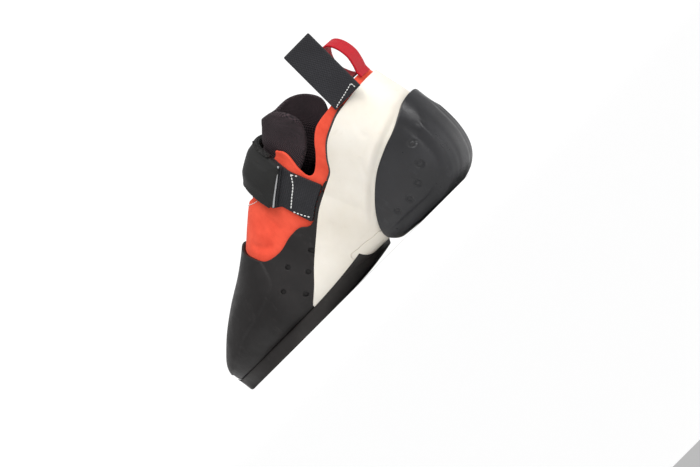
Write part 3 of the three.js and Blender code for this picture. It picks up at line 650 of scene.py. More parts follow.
def ramp(tree, source, first, last):
    """Colours between two stops, each a position and a colour."""
    item = tree.nodes.new("ShaderNodeValToRGB")
    for element, (position, colour) in zip(item.color_ramp.elements, (first, last)):
        element.position = position
        element.color = (*colour, 1)
    tree.links.new(source, item.inputs["Fac"])
    return item.outputs["Color"]


def spread(tree, source, low, high, from_low=0.3, from_high=0.7):
    """A value's range stretched to another range."""
    item = tree.nodes.new("ShaderNodeMapRange")
    item.inputs["From Min"].default_value = from_low
    item.inputs["From Max"].default_value = from_high
    item.inputs["To Min"].default_value = low
    item.inputs["To Max"].default_value = high
    tree.links.new(source, item.inputs["Value"])
    return item.outputs["Result"]


def mixed(tree, share, first, second):
    """Two colours mixed by a share; each may be a value or a socket."""
    item = tree.nodes.new("ShaderNodeMix")
    item.data_type = "RGBA"
    for socket, value in ((0, share), (6, first), (7, second)):
        if isinstance(value, bpy.types.NodeSocket):
            tree.links.new(value, item.inputs[socket])
        elif socket == 0:
            item.inputs[0].default_value = value
        else:
            item.inputs[socket].default_value = (*value, 1)
    return item.outputs[2]


def math_node(tree, operation, first, second=None):
    """The result of one sum, with values or sockets as its inputs."""
    item = tree.nodes.new("ShaderNodeMath")
    item.operation = operation
    for socket, value in ((0, first), (1, second)):
        if value is None:
            continue
        if isinstance(value, bpy.types.NodeSocket):
            tree.links.new(value, item.inputs[socket])
        else:
            item.inputs[socket].default_value = value
    return item.outputs[0]


def bump(tree, shader, height, distance, strength=1.0):
    """Adds relief of some millimetres to the relief that the shader has."""
    item = tree.nodes.new("ShaderNodeBump")
    item.inputs["Distance"].default_value = distance * MM
    item.inputs["Strength"].default_value = strength
    tree.links.new(height, item.inputs["Height"])
    previous = shader.inputs["Normal"]
    if previous.is_linked:
        tree.links.new(previous.links[0].from_socket, item.inputs["Normal"])
    tree.links.new(item.outputs["Normal"], shader.inputs["Normal"])


def rubber(name, dark, light, roughness, grain, shine=SOFT_SHINE):
    """Satin rubber with cloudy tone, fine grain and worn, paler scuffs."""
    material, tree, shader = new_material(name, dark, roughness, shine)
    place = object_place(tree)
    cloud = noise(tree, place, 35, 4)
    fine = noise(tree, place, 2600, 2)
    worn = noise(tree, object_place(tree, (1.0, 1.0, 0.45)), 120, 6, 0.7)
    tone = ramp(tree, cloud, (0.32, dark), (0.70, light))
    scuffed = tuple(min(1, 1.9 * value + 0.012) for value in light)
    tone = mixed(tree, spread(tree, worn, 0, 0.55, 0.58, 0.78), tone, scuffed)
    tree.links.new(tone, shader.inputs["Base Color"])
    tree.links.new(spread(tree, worn, roughness - 0.07, roughness + 0.16), shader.inputs["Roughness"])
    bump(tree, shader, fine, grain)
    bump(tree, shader, worn, grain * 1.6, 0.6)
    return material


def pale_rubber(name, colour, shade):
    """Off-white rubber: soft mottling, a fine grain, and grey marks of handling."""
    material, tree, shader = new_material(name, colour, 0.5)
    shader.inputs["Subsurface Weight"].default_value = 0.06
    shader.inputs["Subsurface Radius"].default_value = (0.004, 0.003, 0.002)
    place = object_place(tree)
    cloud = noise(tree, place, 28, 4)
    streak = noise(tree, object_place(tree, (0.7, 1.0, 1.6)), 90, 5, 0.65)
    fine = noise(tree, place, 1900, 2)
    tone = ramp(tree, cloud, (0.30, shade), (0.68, colour))
    marked = tuple(value * factor for value, factor in zip(shade, (0.80, 0.78, 0.74)))
    tone = mixed(tree, spread(tree, streak, 0, 0.35, 0.60, 0.80), tone, marked)
    tree.links.new(tone, shader.inputs["Base Color"])
    tree.links.new(spread(tree, streak, 0.44, 0.62), shader.inputs["Roughness"])
    bump(tree, shader, fine, 0.05)
    bump(tree, shader, cloud, 0.35, 0.5)
    return material


def microfibre(name, colour, deep):
    """Short-napped microfibre: brushed patches, a fine fibre grain and a soft sheen."""
    material, tree, shader = new_material(name, colour, 0.85)
    shader.inputs["Sheen Weight"].default_value = 0.12
    shader.inputs["Sheen Roughness"].default_value = 0.4
    shader.inputs["Sheen Tint"].default_value = (1.0, 0.62, 0.5, 1)
    place = object_place(tree)
    brushed = noise(tree, object_place(tree, (1.0, 1.6, 0.6)), 110, 4, 0.6)
    fibre = noise(tree, object_place(tree, (1.0, 3.0, 1.0)), 1500, 3, 0.7)
    grain = noise(tree, place, 3200, 2)
    tone = ramp(tree, brushed, (0.30, deep), (0.68, colour))
    tone = mixed(tree, spread(tree, fibre, 0, 0.45, 0.55, 0.80), tone, scaled(deep, 0.72))
    tree.links.new(tone, shader.inputs["Base Color"])
    bump(tree, shader, fibre, 0.10)
    bump(tree, shader, grain, 0.06)
    return material


def woven(name, colour, other, pitch, turn, depth, roughness):
    """Webbing or knit: threads both ways in the piece's own flat coordinates."""
    material, tree, shader = new_material(name, colour, roughness)
    shader.inputs["Sheen Weight"].default_value = 0.04
    place = flat_place(tree, turn)
    split = tree.nodes.new("ShaderNodeSeparateXYZ")
    tree.links.new(place, split.inputs["Vector"])
    turns = 2 * math.pi / (pitch * MM)
    along = math_node(tree, "SINE", math_node(tree, "MULTIPLY", split.outputs["X"], turns))
    across = math_node(tree, "SINE", math_node(tree, "MULTIPLY", split.outputs["Y"], turns * 0.62))
    weave = math_node(tree, "MULTIPLY", along, across)
    height = math_node(tree, "MULTIPLY_ADD", weave, 0.5)
    height.node.inputs[2].default_value = 0.5
    fuzz = noise(tree, object_place(tree), 2400, 3, 0.7)
    cloud = noise(tree, object_place(tree), 60, 3)
    tone = mixed(tree, spread(tree, height, 0, 1, 0.15, 0.85), colour, other)
    tone = mixed(tree, spread(tree, cloud, 0, 0.4), tone, scaled(colour, 0.6))
    tree.links.new(tone, shader.inputs["Base Color"])
    bump(tree, shader, height, depth)
    bump(tree, shader, fuzz, 0.10)
    return material


def thread(name, colour):
    """Twisted sewing thread."""
    material, tree, shader = new_material(name, colour, 0.6)
    shader.inputs["Sheen Weight"].default_value = 0.04
    twist = noise(tree, object_place(tree), 2500, 2)
    tone = ramp(tree, twist, (0.3, scaled(colour, 0.72)), (0.7, colour))
    tree.links.new(tone, shader.inputs["Base Color"])
    bump(tree, shader, twist, 0.12)
    return material


def printed(name, colour):
    """A plain printed spot, a little worn."""
    material, tree, shader = new_material(name, colour, 0.5)
    worn = noise(tree, object_place(tree), 700, 4, 0.7)
    tone = mixed(tree, spread(tree, worn, 0, 0.5, 0.62, 0.80), colour, scaled(colour, 0.55))
    tree.links.new(tone, shader.inputs["Base Color"])
    bump(tree, shader, worn, 0.04)
    return material


def tread_discs(material, discs):
    """Plain printed discs: rows of centre x and y, radius and colour, the last on top."""
    tree = material.node_tree
    shader = tree.nodes["Principled BSDF"]
    tone = shader.inputs["Base Color"].links[0].from_socket
    coordinates = tree.nodes.new("ShaderNodeTexCoord")
    split = tree.nodes.new("ShaderNodeSeparateXYZ")
    tree.links.new(coordinates.outputs["Object"], split.inputs["Vector"])
    worn = noise(tree, coordinates.outputs["Object"], 600, 4, 0.7)
    for x, y, radius, colour in discs:
        centre = (Vector((x, y, 0)) + HEEL_BACK) * MM
        along = math_node(tree, "SUBTRACT", split.outputs["X"], centre.x)
        across = math_node(tree, "SUBTRACT", split.outputs["Y"], centre.y)
        square = math_node(tree, "ADD", math_node(tree, "MULTIPLY", along, along),
                           math_node(tree, "MULTIPLY", across, across))
        far = math_node(tree, "SQRT", square)
        mask = spread(tree, far, 1, 0, (radius - 0.1) * MM, (radius + 0.1) * MM)
        kept = spread(tree, worn, 1.0, 0.55, 0.60, 0.80)
        tone = mixed(tree, math_node(tree, "MULTIPLY", mask, kept), tone, colour)
    tree.links.new(tone, shader.inputs["Base Color"])


def pile(name, colour, tip):
    """Matted loop pile: dark tufts with paler tips."""
    material, tree, shader = new_material(name, colour, 0.95)
    place = object_place(tree)
    tufts = noise(tree, place, 850, 3, 0.7)
    hairs = noise(tree, object_place(tree, (1.0, 1.0, 2.5)), 2300, 2)
    tree.links.new(ramp(tree, tufts, (0.40, colour), (0.72, tip)), shader.inputs["Base Color"])
    bump(tree, shader, tufts, 0.9)
    bump(tree, shader, hairs, 0.25)
    return material


BLACK_RUBBER = rubber("black_rubber", (0.0110, 0.0098, 0.0098), (0.022, 0.020, 0.020), 0.48, 0.05)
# Rubber of the tread: browner and rougher than the ground edge, and its darker colour is painted shade,
# since the tread faces away from the light
SHADED_TREAD_RUBBER = rubber("tread_rubber_painted_shade", (0.0140, 0.0115, 0.0100), (0.025, 0.0215, 0.0195), 0.62, 0.06)
CUP_RUBBER = rubber("cup_rubber", (0.0110, 0.0110, 0.0125), (0.021, 0.021, 0.024), 0.31, 0.03, 0.42)
GROUND_RUBBER = rubber("ground_rubber", (0.0175, 0.0155, 0.0150), (0.031, 0.028, 0.027), 0.50, 0.05)
WHITE_RUBBER = pale_rubber("white_rubber", (0.84, 0.80, 0.725), (0.75, 0.70, 0.61))
ORANGE = microfibre("orange_microfibre", (0.88, 0.105, 0.055), (0.74, 0.070, 0.035))
KNIT = woven("black_knit", (0.0085, 0.0070, 0.0090), (0.070, 0.045, 0.052), 1.7, 0.7, 0.45, 0.9)
LINING_CLOTH = woven("lining_cloth", (0.050, 0.046, 0.048), (0.028, 0.026, 0.027), 1.0, 0.4, 0.12, 0.9)
FOOTBED = woven("footbed", (0.035, 0.033, 0.036), (0.020, 0.019, 0.021), 0.9, 0.0, 0.10, 0.9)
WEBBING = woven("black_webbing", (0.012, 0.012, 0.014), (0.032, 0.032, 0.037), 1.3, 0.0, 0.22, 0.7)
STRAP_CLOTH = woven("strap_cloth", (0.011, 0.011, 0.011), (0.021, 0.021, 0.020), 0.7, 0.5, 0.12, 0.65)
PILE = pile("loop_pile", (0.008, 0.008, 0.008), (0.060, 0.058, 0.056))
RED_WEBBING = woven("red_webbing", (0.55, 0.002, 0.014), (0.40, 0.001, 0.009), 1.2, 0.0, 0.18, 0.6)
BOARD = printed("board", (0.82, 0.72, 0.47))
DARK_STRIP = rubber("dark_strip", (0.045, 0.045, 0.045), (0.075, 0.075, 0.075), 0.6, 0.04)
WHITE_THREAD = thread("white_thread", (0.85, 0.85, 0.83))
EDGE_GREY = thread("edge_grey", (0.42, 0.42, 0.43))
HOLE_BROWN = printed("hole_brown", (0.16, 0.10, 0.06))

# Printed discs on the tread, under the ball
TREAD_DISCS = (
    (208.0, -9.0, 9.0, (1.0, 0.62, 0.005)), (191.0, -7.0, 10.5, (0.86, 0.87, 0.90)),
    (191.0, -7.0, 8.6, (0.013, 0.014, 0.022)),
)
tread_discs(SHADED_TREAD_RUBBER, TREAD_DISCS)

# Lines and regions of the pieces
TENSION_LINE = smooth(np.vstack([beside_sole(TENSION_EDGE), beside_heel(COLLAR_RAND_EDGE)]))
HEEL_REGION = np.vstack([
    TENSION_LINE, (-FAR, TENSION_LINE[-1][1]), (-FAR, -FAR), (TENSION_LINE[0][0], -FAR),
])
ARCH_REGION = smooth(beside_sole(ARCH_EDGE))
OVER_BOARD = GROUND_TO_UPPER + UPPER_WALL + INSOLE_THICKNESS
BOARD_ROWS = (3, 10)
OPENING_ROWS = (4, 9)


def sole_rows(first, last, steps=10):
    """Columns of the sole's edge between two of its rows."""
    place = np.linspace(first, last, (last - first) * steps + 1)
    return {name: curve_at(values, place) for name, values in zip(SOLE_COLUMNS, zip(*SOLE_SECTIONS))}


def sole_outline(inset, first, last):
    """The sole's edge seen from above, moved inwards."""
    rows = sole_rows(first, last)
    inner = np.stack([rows["x"] * LAST_LENGTH, rows["inner"] * BALL_WIDTH - inset], 1)
    outer = np.stack([rows["x"] * LAST_LENGTH, inset - rows["outer"] * BALL_WIDTH], 1)
    return np.vstack([inner[::-1], outer])


def toe_region():
    """The toe rand seen from the side, with a glue gap along the heel rand."""
    top = smooth(beside_sole(TOE_RAND_TOP))
    count = int(np.sum(TENSION_LINE[:, 0] >= top[0][0]))
    edge = widened(HEEL_REGION, GLUE_GAP)[:count]
    return np.vstack([edge[::-1], (edge[0][0], -FAR), (FAR, -FAR), (FAR, top[-1][1]), top[::-1]])


def collar_region():
    """What the collar's opening takes away, seen from the side."""
    edge = smooth(beside_heel(COLLAR_EDGE))
    return np.vstack([edge, (edge[-1][0], FAR), (-FAR, FAR), (-FAR, edge[0][1])])


THROAT_START = 0.330
THROAT_END = 0.580
THROAT_MIDDLE = 0.10
THROAT_LOW = 0.60


def throat_region(wider=0.0):
    """The throat's opening seen from above."""
    radius = THROAT_WIDTH / 2 + wider
    middle = THROAT_MIDDLE * BALL_WIDTH
    centre = THROAT_END * LAST_LENGTH - THROAT_WIDTH / 2
    angles = np.linspace(-math.pi / 2, math.pi / 2, 25)
    arc = np.stack([centre + radius * np.cos(angles), middle + radius * np.sin(angles)], 1)
    start = THROAT_START * LAST_LENGTH
    return np.vstack([(start, middle - radius), arc, (start, middle + radius)])


def limited(field, keeps):
    """A field only at the points that keeps allows."""
    def inside(p):
        d, g = field(p)
        return np.where(keeps(p), d, -FAR), g
    return inside


def only_above(height, field):
    return limited(field, lambda p: p[:, 2] >= height)


def only_below(height, field):
    return limited(field, lambda p: p[:, 2] <= height)


def only_side(sign, field):
    return limited(field, lambda p: p[:, 1] * sign >= 0)


def eased(value, low, high):
    """A soft step from 0 at low to 1 at high."""
    t = np.clip((value - low) / (high - low), 0, 1)
    return t * t * (3 - 2 * t)


# Soft troughs and ridges: a line seen from the side, its side, height and width
def line_distance(points, line):
    """Distance to an open line, and the share of the line where it is nearest."""
    best = np.full(len(points), np.inf)
    place = np.zeros(len(points))
    count = len(line) - 1
    for k in range(count):
        along = line[k + 1] - line[k]
        share = np.clip(((points - line[k]) @ along) / max(along @ along, 1e-9), 0, 1)
        gap = np.linalg.norm(points - (line[k] + share[:, None] * along), axis=1)
        closer = gap < best
        best[closer] = gap[closer]
        place[closer] = (k + share[closer]) / count
    return best, place


def folds(rows):
    """Relief from rows of side, height, width and a line of x and z."""
    lines = [(side, height, width, smooth(line, steps=6)) for side, height, width, line in rows]

    def relief(p, flat, normals):
        total = np.zeros(len(p))
        for side, height, width, line in lines:
            near = (p[:, 1] * side > 0) if side else np.ones(len(p), bool)
            gap, place = line_distance(p[near][:, [0, 2]], line)
            taper = np.clip(np.minimum(place, 1 - place) * 6, 0, 1) ** 0.7
            total[near] += height * np.exp(-(gap / width) ** 2) * taper
        return total
    return relief


def both(*reliefs):
    """Several reliefs added up."""
    def relief(p, flat, normals):
        return sum(item(p, flat, normals) for item in reliefs)
    return relief


# Finding places on a surface
CAST_FROM = 200
CAST_UNDER = -60


class Surface:
    """Triangles on which places are found from the side, from below or above, with the way out."""

    def __init__(self, points, faces):
        corners = [Vector(point) for point in points]
        self.tree = BVHTree.FromPolygons(corners, [tuple(int(i) for i in face) for face in faces])

    def cast(self, start, way):
        place, normal, _, _ = self.tree.ray_cast(Vector(start), Vector(way))
        return place, normal

    def beside(self, x, z, sign):
        return self.cast((x, sign * CAST_FROM, z), (0, -sign, 0))

    def under(self, x, y):
        return self.cast((x, y, CAST_UNDER), (0, 0, 1))

    def over(self, x, y):
        return self.cast((x, y, CAST_FROM), (0, 0, -1))


def line_inside(piece, material, count):
    """Gives the inner skin of a layer, the last part of its faces, another material."""
    piece.data.materials.append(material)
    index = np.zeros(len(piece.data.polygons), np.int32)
    index[-int(count):] = 1
    piece.data.polygons.foreach_set("material_index", index)


def layer_piece(name, inner, outer, field, material, nodes=(), radius=0.5, round_under=False,
                relief=None, sheet=None, change=None, lining=None):
    """A layer on the last between two offsets, cut at its field's edge."""
    sheet = sheet or LAST
    top, bottom = sheet.grown(outer), sheet.grown(inner)
    if change:
        top, bottom = change(top), change(bottom)
    solid = close_sheet(sheet, top, bottom, field, radius, round_under, relief)
    points, faces, flat, skin_faces = solid
    if change:
        points = change(points)
    piece = add_piece(name, points, faces, material, nodes, flat)
    if lining:
        line_inside(piece, lining, skin_faces)
    return piece, points, faces


def swept_solid(rings):
    """Points and faces of a solid through closed rings of points, with a fan at each end."""
    rows, count = rings.shape[:2]
    row = np.arange(rows - 1)[:, None] * count
    a = np.arange(count)[None]
    b = (a + 1) % count
    faces = [
        np.stack([row + a, row + count + a, row + count + b], 2).reshape(-1, 3),
        np.stack([row + a, row + count + b, row + b], 2).reshape(-1, 3),
    ]
    points = rings.reshape(-1, 3)
    for start in (0, (rows - 1) * count):
        fan = np.stack([np.full(count, len(points)), start + a[0], start + b[0]], 1)
        points = np.vstack([points, points[start:start + count].mean(0)])
        faces.append(fan[:, ::-1] if start else fan)
    return points, np.vstack(faces)


RIBBON_CORNER_STEPS = 5
RIBBON_FACE_POINTS = 14


def points_between(a, b):
    """Points along the flat face of a ribbon, without its ends."""
    shares = np.arange(1, RIBBON_FACE_POINTS + 1) / (RIBBON_FACE_POINTS + 1)
    return [tuple(np.array(a) + (np.array(b) - a) * share) for share in shares]


def ribbon_profile(width, thick, radius):
    """The cut through a ribbon: four rounded corners and points along both faces."""
    far, high = width / 2 - radius, thick / 2 - radius
    corners = []
    for centre, start in (((far, high), 0), ((-far, high), 90), ((-far, -high), 180), ((far, -high), 270)):
        for angle in np.radians(start + np.linspace(0, 90, RIBBON_CORNER_STEPS)):
            corners.append((centre[0] + radius * math.cos(angle), centre[1] + radius * math.sin(angle)))
    n = RIBBON_CORNER_STEPS
    upper_face = points_between(corners[n - 1], corners[n])
    lower_face = points_between(corners[3 * n - 1], corners[3 * n])
    return np.array(corners[:n] + upper_face + corners[n:3 * n] + lower_face + corners[3 * n:])


def tube(line, across, width, thick, corner=None):
    """A flat ribbon swept along a line, with rounded edges: points, faces and flat coordinates."""
    line, across = np.asarray(line, float), np.asarray(across, float)
    along = np.gradient(line, axis=0)
    along /= np.linalg.norm(along, axis=1)[:, None]
    across = across - np.sum(across * along, 1)[:, None] * along
    across /= np.linalg.norm(across, axis=1)[:, None]
    up = np.cross(along, across)
    profile = ribbon_profile(width, thick, thick / 2 if corner is None else corner)
    rings = line[:, None] + across[:, None] * profile[None, :, 0:1] + up[:, None] * profile[None, :, 1:2]
    points, faces = swept_solid(rings)
    length = np.concatenate([[0], np.cumsum(np.linalg.norm(np.diff(line, axis=0), axis=1))])
    flat = np.zeros((*rings.shape[:2], 2))
    flat[..., 0] = length[:, None]
    flat[..., 1] = profile[None, :, 0]
    flat = np.vstack([flat.reshape(-1, 2), flat[0, 0], flat[-1, 0]])
    return points, outward_faces(points, faces), flat


def outward_faces(points, faces):
    """A solid's faces, turned so that they look outwards."""
    a, b, c = (points[faces[:, k]] for k in range(3))
    volume = np.sum(np.cross(a, b) * c)
    return faces if volume > 0 else faces[:, ::-1]


STITCH_SIDES = 8
STITCH_RINGS = 7


def one_stitch(spine, normal, thick):
    """Rings of one rounded stitch along its spine, sunk a little at its ends."""
    share = np.linspace(-0.5, 0.5, STITCH_RINGS)
    round_end = np.sqrt(np.maximum(1 - (2 * share) ** 4, 0.02))
    spine = spine + normal * (thick * (0.52 * round_end - 0.18))[:, None]
    along = np.gradient(spine, axis=0)
    along /= np.linalg.norm(along, axis=1)[:, None]
    across = np.cross(along, normal)
    size = (thick / 2 * round_end)[:, None]
    sides = np.linspace(0, 2 * math.pi, STITCH_SIDES, endpoint=False)
    return (spine[:, None] + across[:, None] * (np.cos(sides) * size)[..., None]
            + normal[:, None] * (np.sin(sides) * size)[..., None])


def stitch_faces():
    """The faces of one stitch, with a fan at each end."""
    faces = []
    for ring in range(STITCH_RINGS - 1):
        for corner in range(STITCH_SIDES):
            p, q = ring * STITCH_SIDES, (ring + 1) * STITCH_SIDES
            following = (corner + 1) % STITCH_SIDES
            faces.append((p + corner, q + following, q + corner))
            faces.append((p + corner, p + following, q + following))
    end = (STITCH_RINGS - 1) * STITCH_SIDES
    for corner in range(1, STITCH_SIDES - 1):
        faces.append((0, corner, corner + 1))
        faces.append((end, end + corner + 1, end + corner))
    return np.array(faces)


def stitches(name, rows, thick):
    """Rows of white stitches; each row has points, normals, pitch and length of a stitch."""
    points, faces = [], []
    for line, normals, pitch, length in rows:
        line, normals = np.asarray(line, float), np.asarray(normals, float)
        run = np.concatenate([[0], np.cumsum(np.linalg.norm(np.diff(line, axis=0), axis=1))])
        count = max(1, int(round(run[-1] / pitch)))
        for k in range(count):
            goal = (k + 0.5) * run[-1] / count + np.linspace(-0.5, 0.5, STITCH_RINGS) * length
            spine = np.stack([np.interp(goal, run, line[:, j]) for j in range(3)], 1)
            normal = np.stack([np.interp(goal, run, normals[:, j]) for j in range(3)], 1)
            normal /= np.linalg.norm(normal, axis=1)[:, None]
            faces.append(stitch_faces() + len(points) * STITCH_RINGS * STITCH_SIDES)
            points.append(one_stitch(spine, normal, thick).reshape(-1, 3))
    return add_piece(name, np.vstack(points), np.vstack(faces), WHITE_THREAD)


def facing(normal, axis):
    """A normal turned towards the positive side of an axis."""
    return normal if normal[axis] > 0 else -normal


def traced(surface, rows, steps=6):
    """Points and normals on a surface along a smooth line seen from the inner side."""
    places, normals = [], []
    for x, z in smooth(rows, steps=steps):
        place, normal = surface.beside(x, z, 1)
        if place is not None:
            places.append(place)
            normals.append(facing(normal, 1))
    return places, normals


LAST = last_sheet(0.0, 21.0, 1.15, 38)
STRAP_SHEET = last_sheet(6.5, 15.0, 0.6, 72)

# The collar's dark strip, floors of holes, folds, the toe's patch, and the cup's dimples. A fold has
# its side of the shoe, height, width and a line seen from the side
STRIP_WIDTH = 1.6
STRIP_FADE = (24, 40)
STRIP_THICKNESS = 1.1
HOLE_FLOOR_THICKNESS = 0.24
ON_UPPER = 0.02
UPPER_FOLDS = (
    (1, -0.9, 2.2, ((150, 66), (146, 61), (141, 57), (136, 56))),
    (1, -0.6, 1.8, ((128, 70), (126, 64), (126, 58))),
    (1, 0.4, 2.6, ((142, 70), (138, 65), (133, 62))),
    (-1, -0.9, 2.6, ((158, 60), (150, 52), (140, 47), (131, 46))),
    (-1, -0.7, 2.2, ((142, 66), (134, 59), (124, 55), (116, 55))),
    (-1, -0.6, 2.4, ((104, 58), (97, 66), (91, 74))),
    (-1, 0.5, 2.6, ((150, 60), (142, 55), (133, 52))),
)
HEEL_FOLDS = (
    (1, -0.95, 2.0, (
        (13, 63), (19.3, 56.8), (31.3, 52), (43.9, 46.5), (58.9, 38.3), (71.7, 27.8), (81.6, 17),
    )),
    (1, 0.60, 2.4, ((18, 62), (31.3, 56), (45, 50), (60, 42), (73.5, 31), (84, 20))),
    (1, -0.60, 1.7, ((50, 56), (57.7, 42), (66, 30), (76, 18), (83, 9))),
    (1, -0.45, 2.4, ((30, 80), (36, 70), (38, 60))),
    (1, 0.40, 4.0, ((60, 66), (70, 54), (80, 42), (92, 30))),
    (1, -0.40, 2.8, ((96, 40), (106, 30), (118, 18))),
    (-1, -0.80, 2.1, ((18, 62), (34, 56), (52, 47), (66, 37), (78, 24), (85, 11))),
    (-1, 0.55, 2.6, ((24, 66), (40, 60), (58, 49), (72, 38), (84, 23))),
    (0, -0.20, 3.0, ((92, 50), (100, 34), (110, 20))),
)
TOE_FOLDS = (
    (1, 0.25, 2.0, ((170, 22), (184, 14), (200, 9.5), (224, 8))),
    (1, -0.25, 2.5, ((140, 44), (152, 34), (166, 26))),
    (-1, -0.25, 2.5, ((138, 44), (150, 34), (164, 26))),
    (0, -0.20, 3.5, ((190, 40), (204, 32), (218, 26))),
)
TOE_PATCH_EDGE = (
    (149.0, 60.0), (150.5, 47.0), (153.5, 38.8), (164.2, 33.7), (176.0, 30.5), (187.5, 29.0), (201.0, 26.0),
    (214.0, 20.5), (226.0, 16.5), (245.0, 15.0),
)
TOE_PATCH_RISE = 0.95
HEEL_RAND_WIDER = 0.2
CUP_DIMPLES = (
    (19.1, 38.3, 2.5), (24.6, 26.4, 2.9), (35.1, 18.6, 2.8), (47.4, 15.1, 2.6), (59.1, 15.0, 2.3),
)
ARCH_HOLES = ((0.373, 0.160), (0.3615, -0.033), (0.412, 0.140), (0.400, -0.012), (0.392, -0.169))
ARCH_HOLE_DIAMETER = 2.3


def make_upper():
    """The hollow shell, open at the collar, the throat and under the forefoot, with its lining."""
    opening = sole_outline(MIDSOLE_INSET + LASTING_MARGIN, *OPENING_ROWS)
    field = all_of(
        outside(side_field(collar_region())),
        outside(only_above(lift(THROAT_LOW), plan_field(throat_region()))),
        outside(only_below(OVER_BOARD, plan_field(opening))),
    )
    return layer_piece("upper_shell", -UPPER_WALL, 0, field, ORANGE, ["upper"], radius=0.9,
                       round_under=True, relief=folds(UPPER_FOLDS), lining=LINING_CLOTH)


def board_cut():
    """Leaves room for the board under the forefoot."""
    outline = widened(sole_outline(MIDSOLE_INSET, *BOARD_ROWS), GLUE_GAP)
    return outside(only_below(OVER_BOARD, plan_field(outline)))


def side_holes(radius):
    """Outside of each perforation in the side rubber."""
    return [hole_field((x * LAST_LENGTH, lift(z)), radius) for x, z in RAND_HOLES]


def arch_holes(radius):
    """Outside of each perforation in the arch piece, seen from above."""
    return [hole_field((x * LAST_LENGTH, y * BALL_WIDTH), radius, (0, 1)) for x, y in ARCH_HOLES]


def toe_patch(p, flat, normals):
    """The toe's thicker patch, which ends in a soft step along the side."""
    edge = smooth(TOE_PATCH_EDGE)
    region = np.vstack([edge, (FAR, edge[-1][1]), (FAR, FAR), (edge[0][0], FAR)])
    inside, _ = outline_distance(p[:, [0, 2]], region)
    return TOE_PATCH_RISE * (eased(inside, -0.6, 0.6) - 0.5)


def make_toe_rand():
    """Black rubber round the toe, with its patch and two rows of holes."""
    holes = side_holes(RAND_HOLE_DIAMETER / 2)
    field = all_of(side_field(toe_region()), board_cut(), *holes)
    return layer_piece("toe_rand_rubber", RAND_IN, RAND_OUT, field, BLACK_RUBBER,
                       ["toe_rand"], radius=0.45, relief=both(folds(TOE_FOLDS), toe_patch),
                       sheet=last_sheet(0.0, 13.0, 0.85, 50))


def make_heel_rand():
    """Off-white tension rubber round the heel, with its folds."""
    field = all_of(
        side_field(widened(HEEL_REGION, HEEL_RAND_WIDER)),
        board_cut(),
        outside(side_field(widened(ARCH_REGION, 0.2))),
    )
    return layer_piece("heel_rand_rubber", RAND_IN, RAND_OUT, field, WHITE_RUBBER,
                       ["heel_rand"], relief=folds(HEEL_FOLDS))


def make_strip():
    """Dark strip along the heel rand's top edge, which narrows to nothing towards the heel."""
    field = all_of(
        side_field(widened(HEEL_REGION, STRIP_WIDTH)),
        outside(side_field(widened(HEEL_REGION, HEEL_RAND_WIDER + 0.02))),
        outside(side_field(widened(toe_region(), 0.1))),
    )
    ahead = TOE_RAND_TOP[0][0] * LAST_LENGTH + 2

    def narrowed(p):
        d, g = field(p)
        return d - STRIP_WIDTH * (1 - eased(p[:, 0], *STRIP_FADE)), g
    behind = limited(narrowed, lambda p: p[:, 0] <= ahead)
    return layer_piece("collar_strip", ON_UPPER, STRIP_THICKNESS, behind, DARK_STRIP,
                       radius=0.15, sheet=last_sheet(8.5, 20.6, 0.5, 88))


def make_arch_panel():
    """Off-white piece between heel cup and sole, with its small holes."""
    field = all_of(side_field(widened(ARCH_REGION, 0.1)), *arch_holes(ARCH_HOLE_DIAMETER / 2))
    return layer_piece("arch_panel_rubber", RAND_IN, RAND_OUT, field, WHITE_RUBBER,
                       ["arch_panel"], radius=0.4)


# The heel cup: a thick band over its middle, which widens softly towards its top border
CUP_MIDDLE = 0.5
CUP_BAND_HALF = 14.5
CUP_BAND_FADE = 3.2
CUP_BORDER_FADE = 14.0
CUP_BORDER_SOFT = 12.0


def dimples(p, flat, normals):
    """Round dishes with a raised middle on the cup's sides."""
    total = np.zeros(len(p))
    beside = np.abs(p[:, 1] - CUP_MIDDLE) > CUP_BAND_HALF + CUP_BAND_FADE
    for x, z, radius in CUP_DIMPLES:
        far = np.hypot(p[:, 0] - x, p[:, 2] - z) / radius
        dish = -1.45 * np.clip(1 - far ** 4, 0, 1) ** 0.7
        dome = 1.25 * np.clip(1 - (far / 0.74) ** 2, 0, 1)
        total += np.where(beside, dish + dome, 0)
    return total


def above_floor(points):
    """Points cut flat at the floor."""
    points = points.copy()
    points[:, 2] = np.maximum(points[:, 2], 0)
    return points


def cup_offset(sheet, region):
    """How far the cup's skin lies out of the last: band, groove, ridge and a hollow."""
    across = np.abs(sheet.points[:, 1] - CUP_MIDDLE)
    within, _ = side_field(region)(sheet.points)
    full = eased(within, 1.0, CUP_BORDER_FADE)
    softer = CUP_BORDER_SOFT * (1 - full)
    beside_band = CUP_BAND_HALF + CUP_BAND_FADE
    band = 1 - eased(across, CUP_BAND_HALF - softer, beside_band + 0.6 * softer)
    offset = OVER_RAND + CUP_SIDE_THICKNESS + (CUP_BAND_THICKNESS - CUP_SIDE_THICKNESS) * band
    for height, place, width in ((-0.65, beside_band, 0.8), (0.55, CUP_BAND_HALF - 0.6, 1.5),
                                 (-0.30, CUP_BAND_HALF - 6.5, 1.6)):
        offset = offset + height * full * np.exp(-((across - place) / width) ** 2)
    return offset


def make_cup():
    """Black rubber cup round the heel, cut flat at the floor."""
    edge = smooth(beside_sole(CUP_EDGE))
    region = np.vstack([edge, (edge[-1][0], -FAR), (-FAR, -FAR), (-FAR, edge[0][1])])
    sheet = last_sheet(10.5, 20.0, 0.65, 76)
    skin = cup_offset(sheet, region)
    return layer_piece("heel_cup_rubber", OVER_RAND, skin, side_field(region), CUP_RUBBER,
                       ["heel_cup"], radius=0.8, relief=dimples, sheet=sheet, change=above_floor)


def make_insole():
    """Thin curved footbed inside the upper."""
    region = side_field(beside_sole(INSOLE_EDGE))
    return layer_piece("footbed_cloth", LINING - INSOLE_THICKNESS, LINING, region, FOOTBED,
                       ["insole"], radius=0.8)


TONGUE_ROLL_END = 98
TONGUE_SWELL = 1.5
THROAT_CLEAR = 1.2


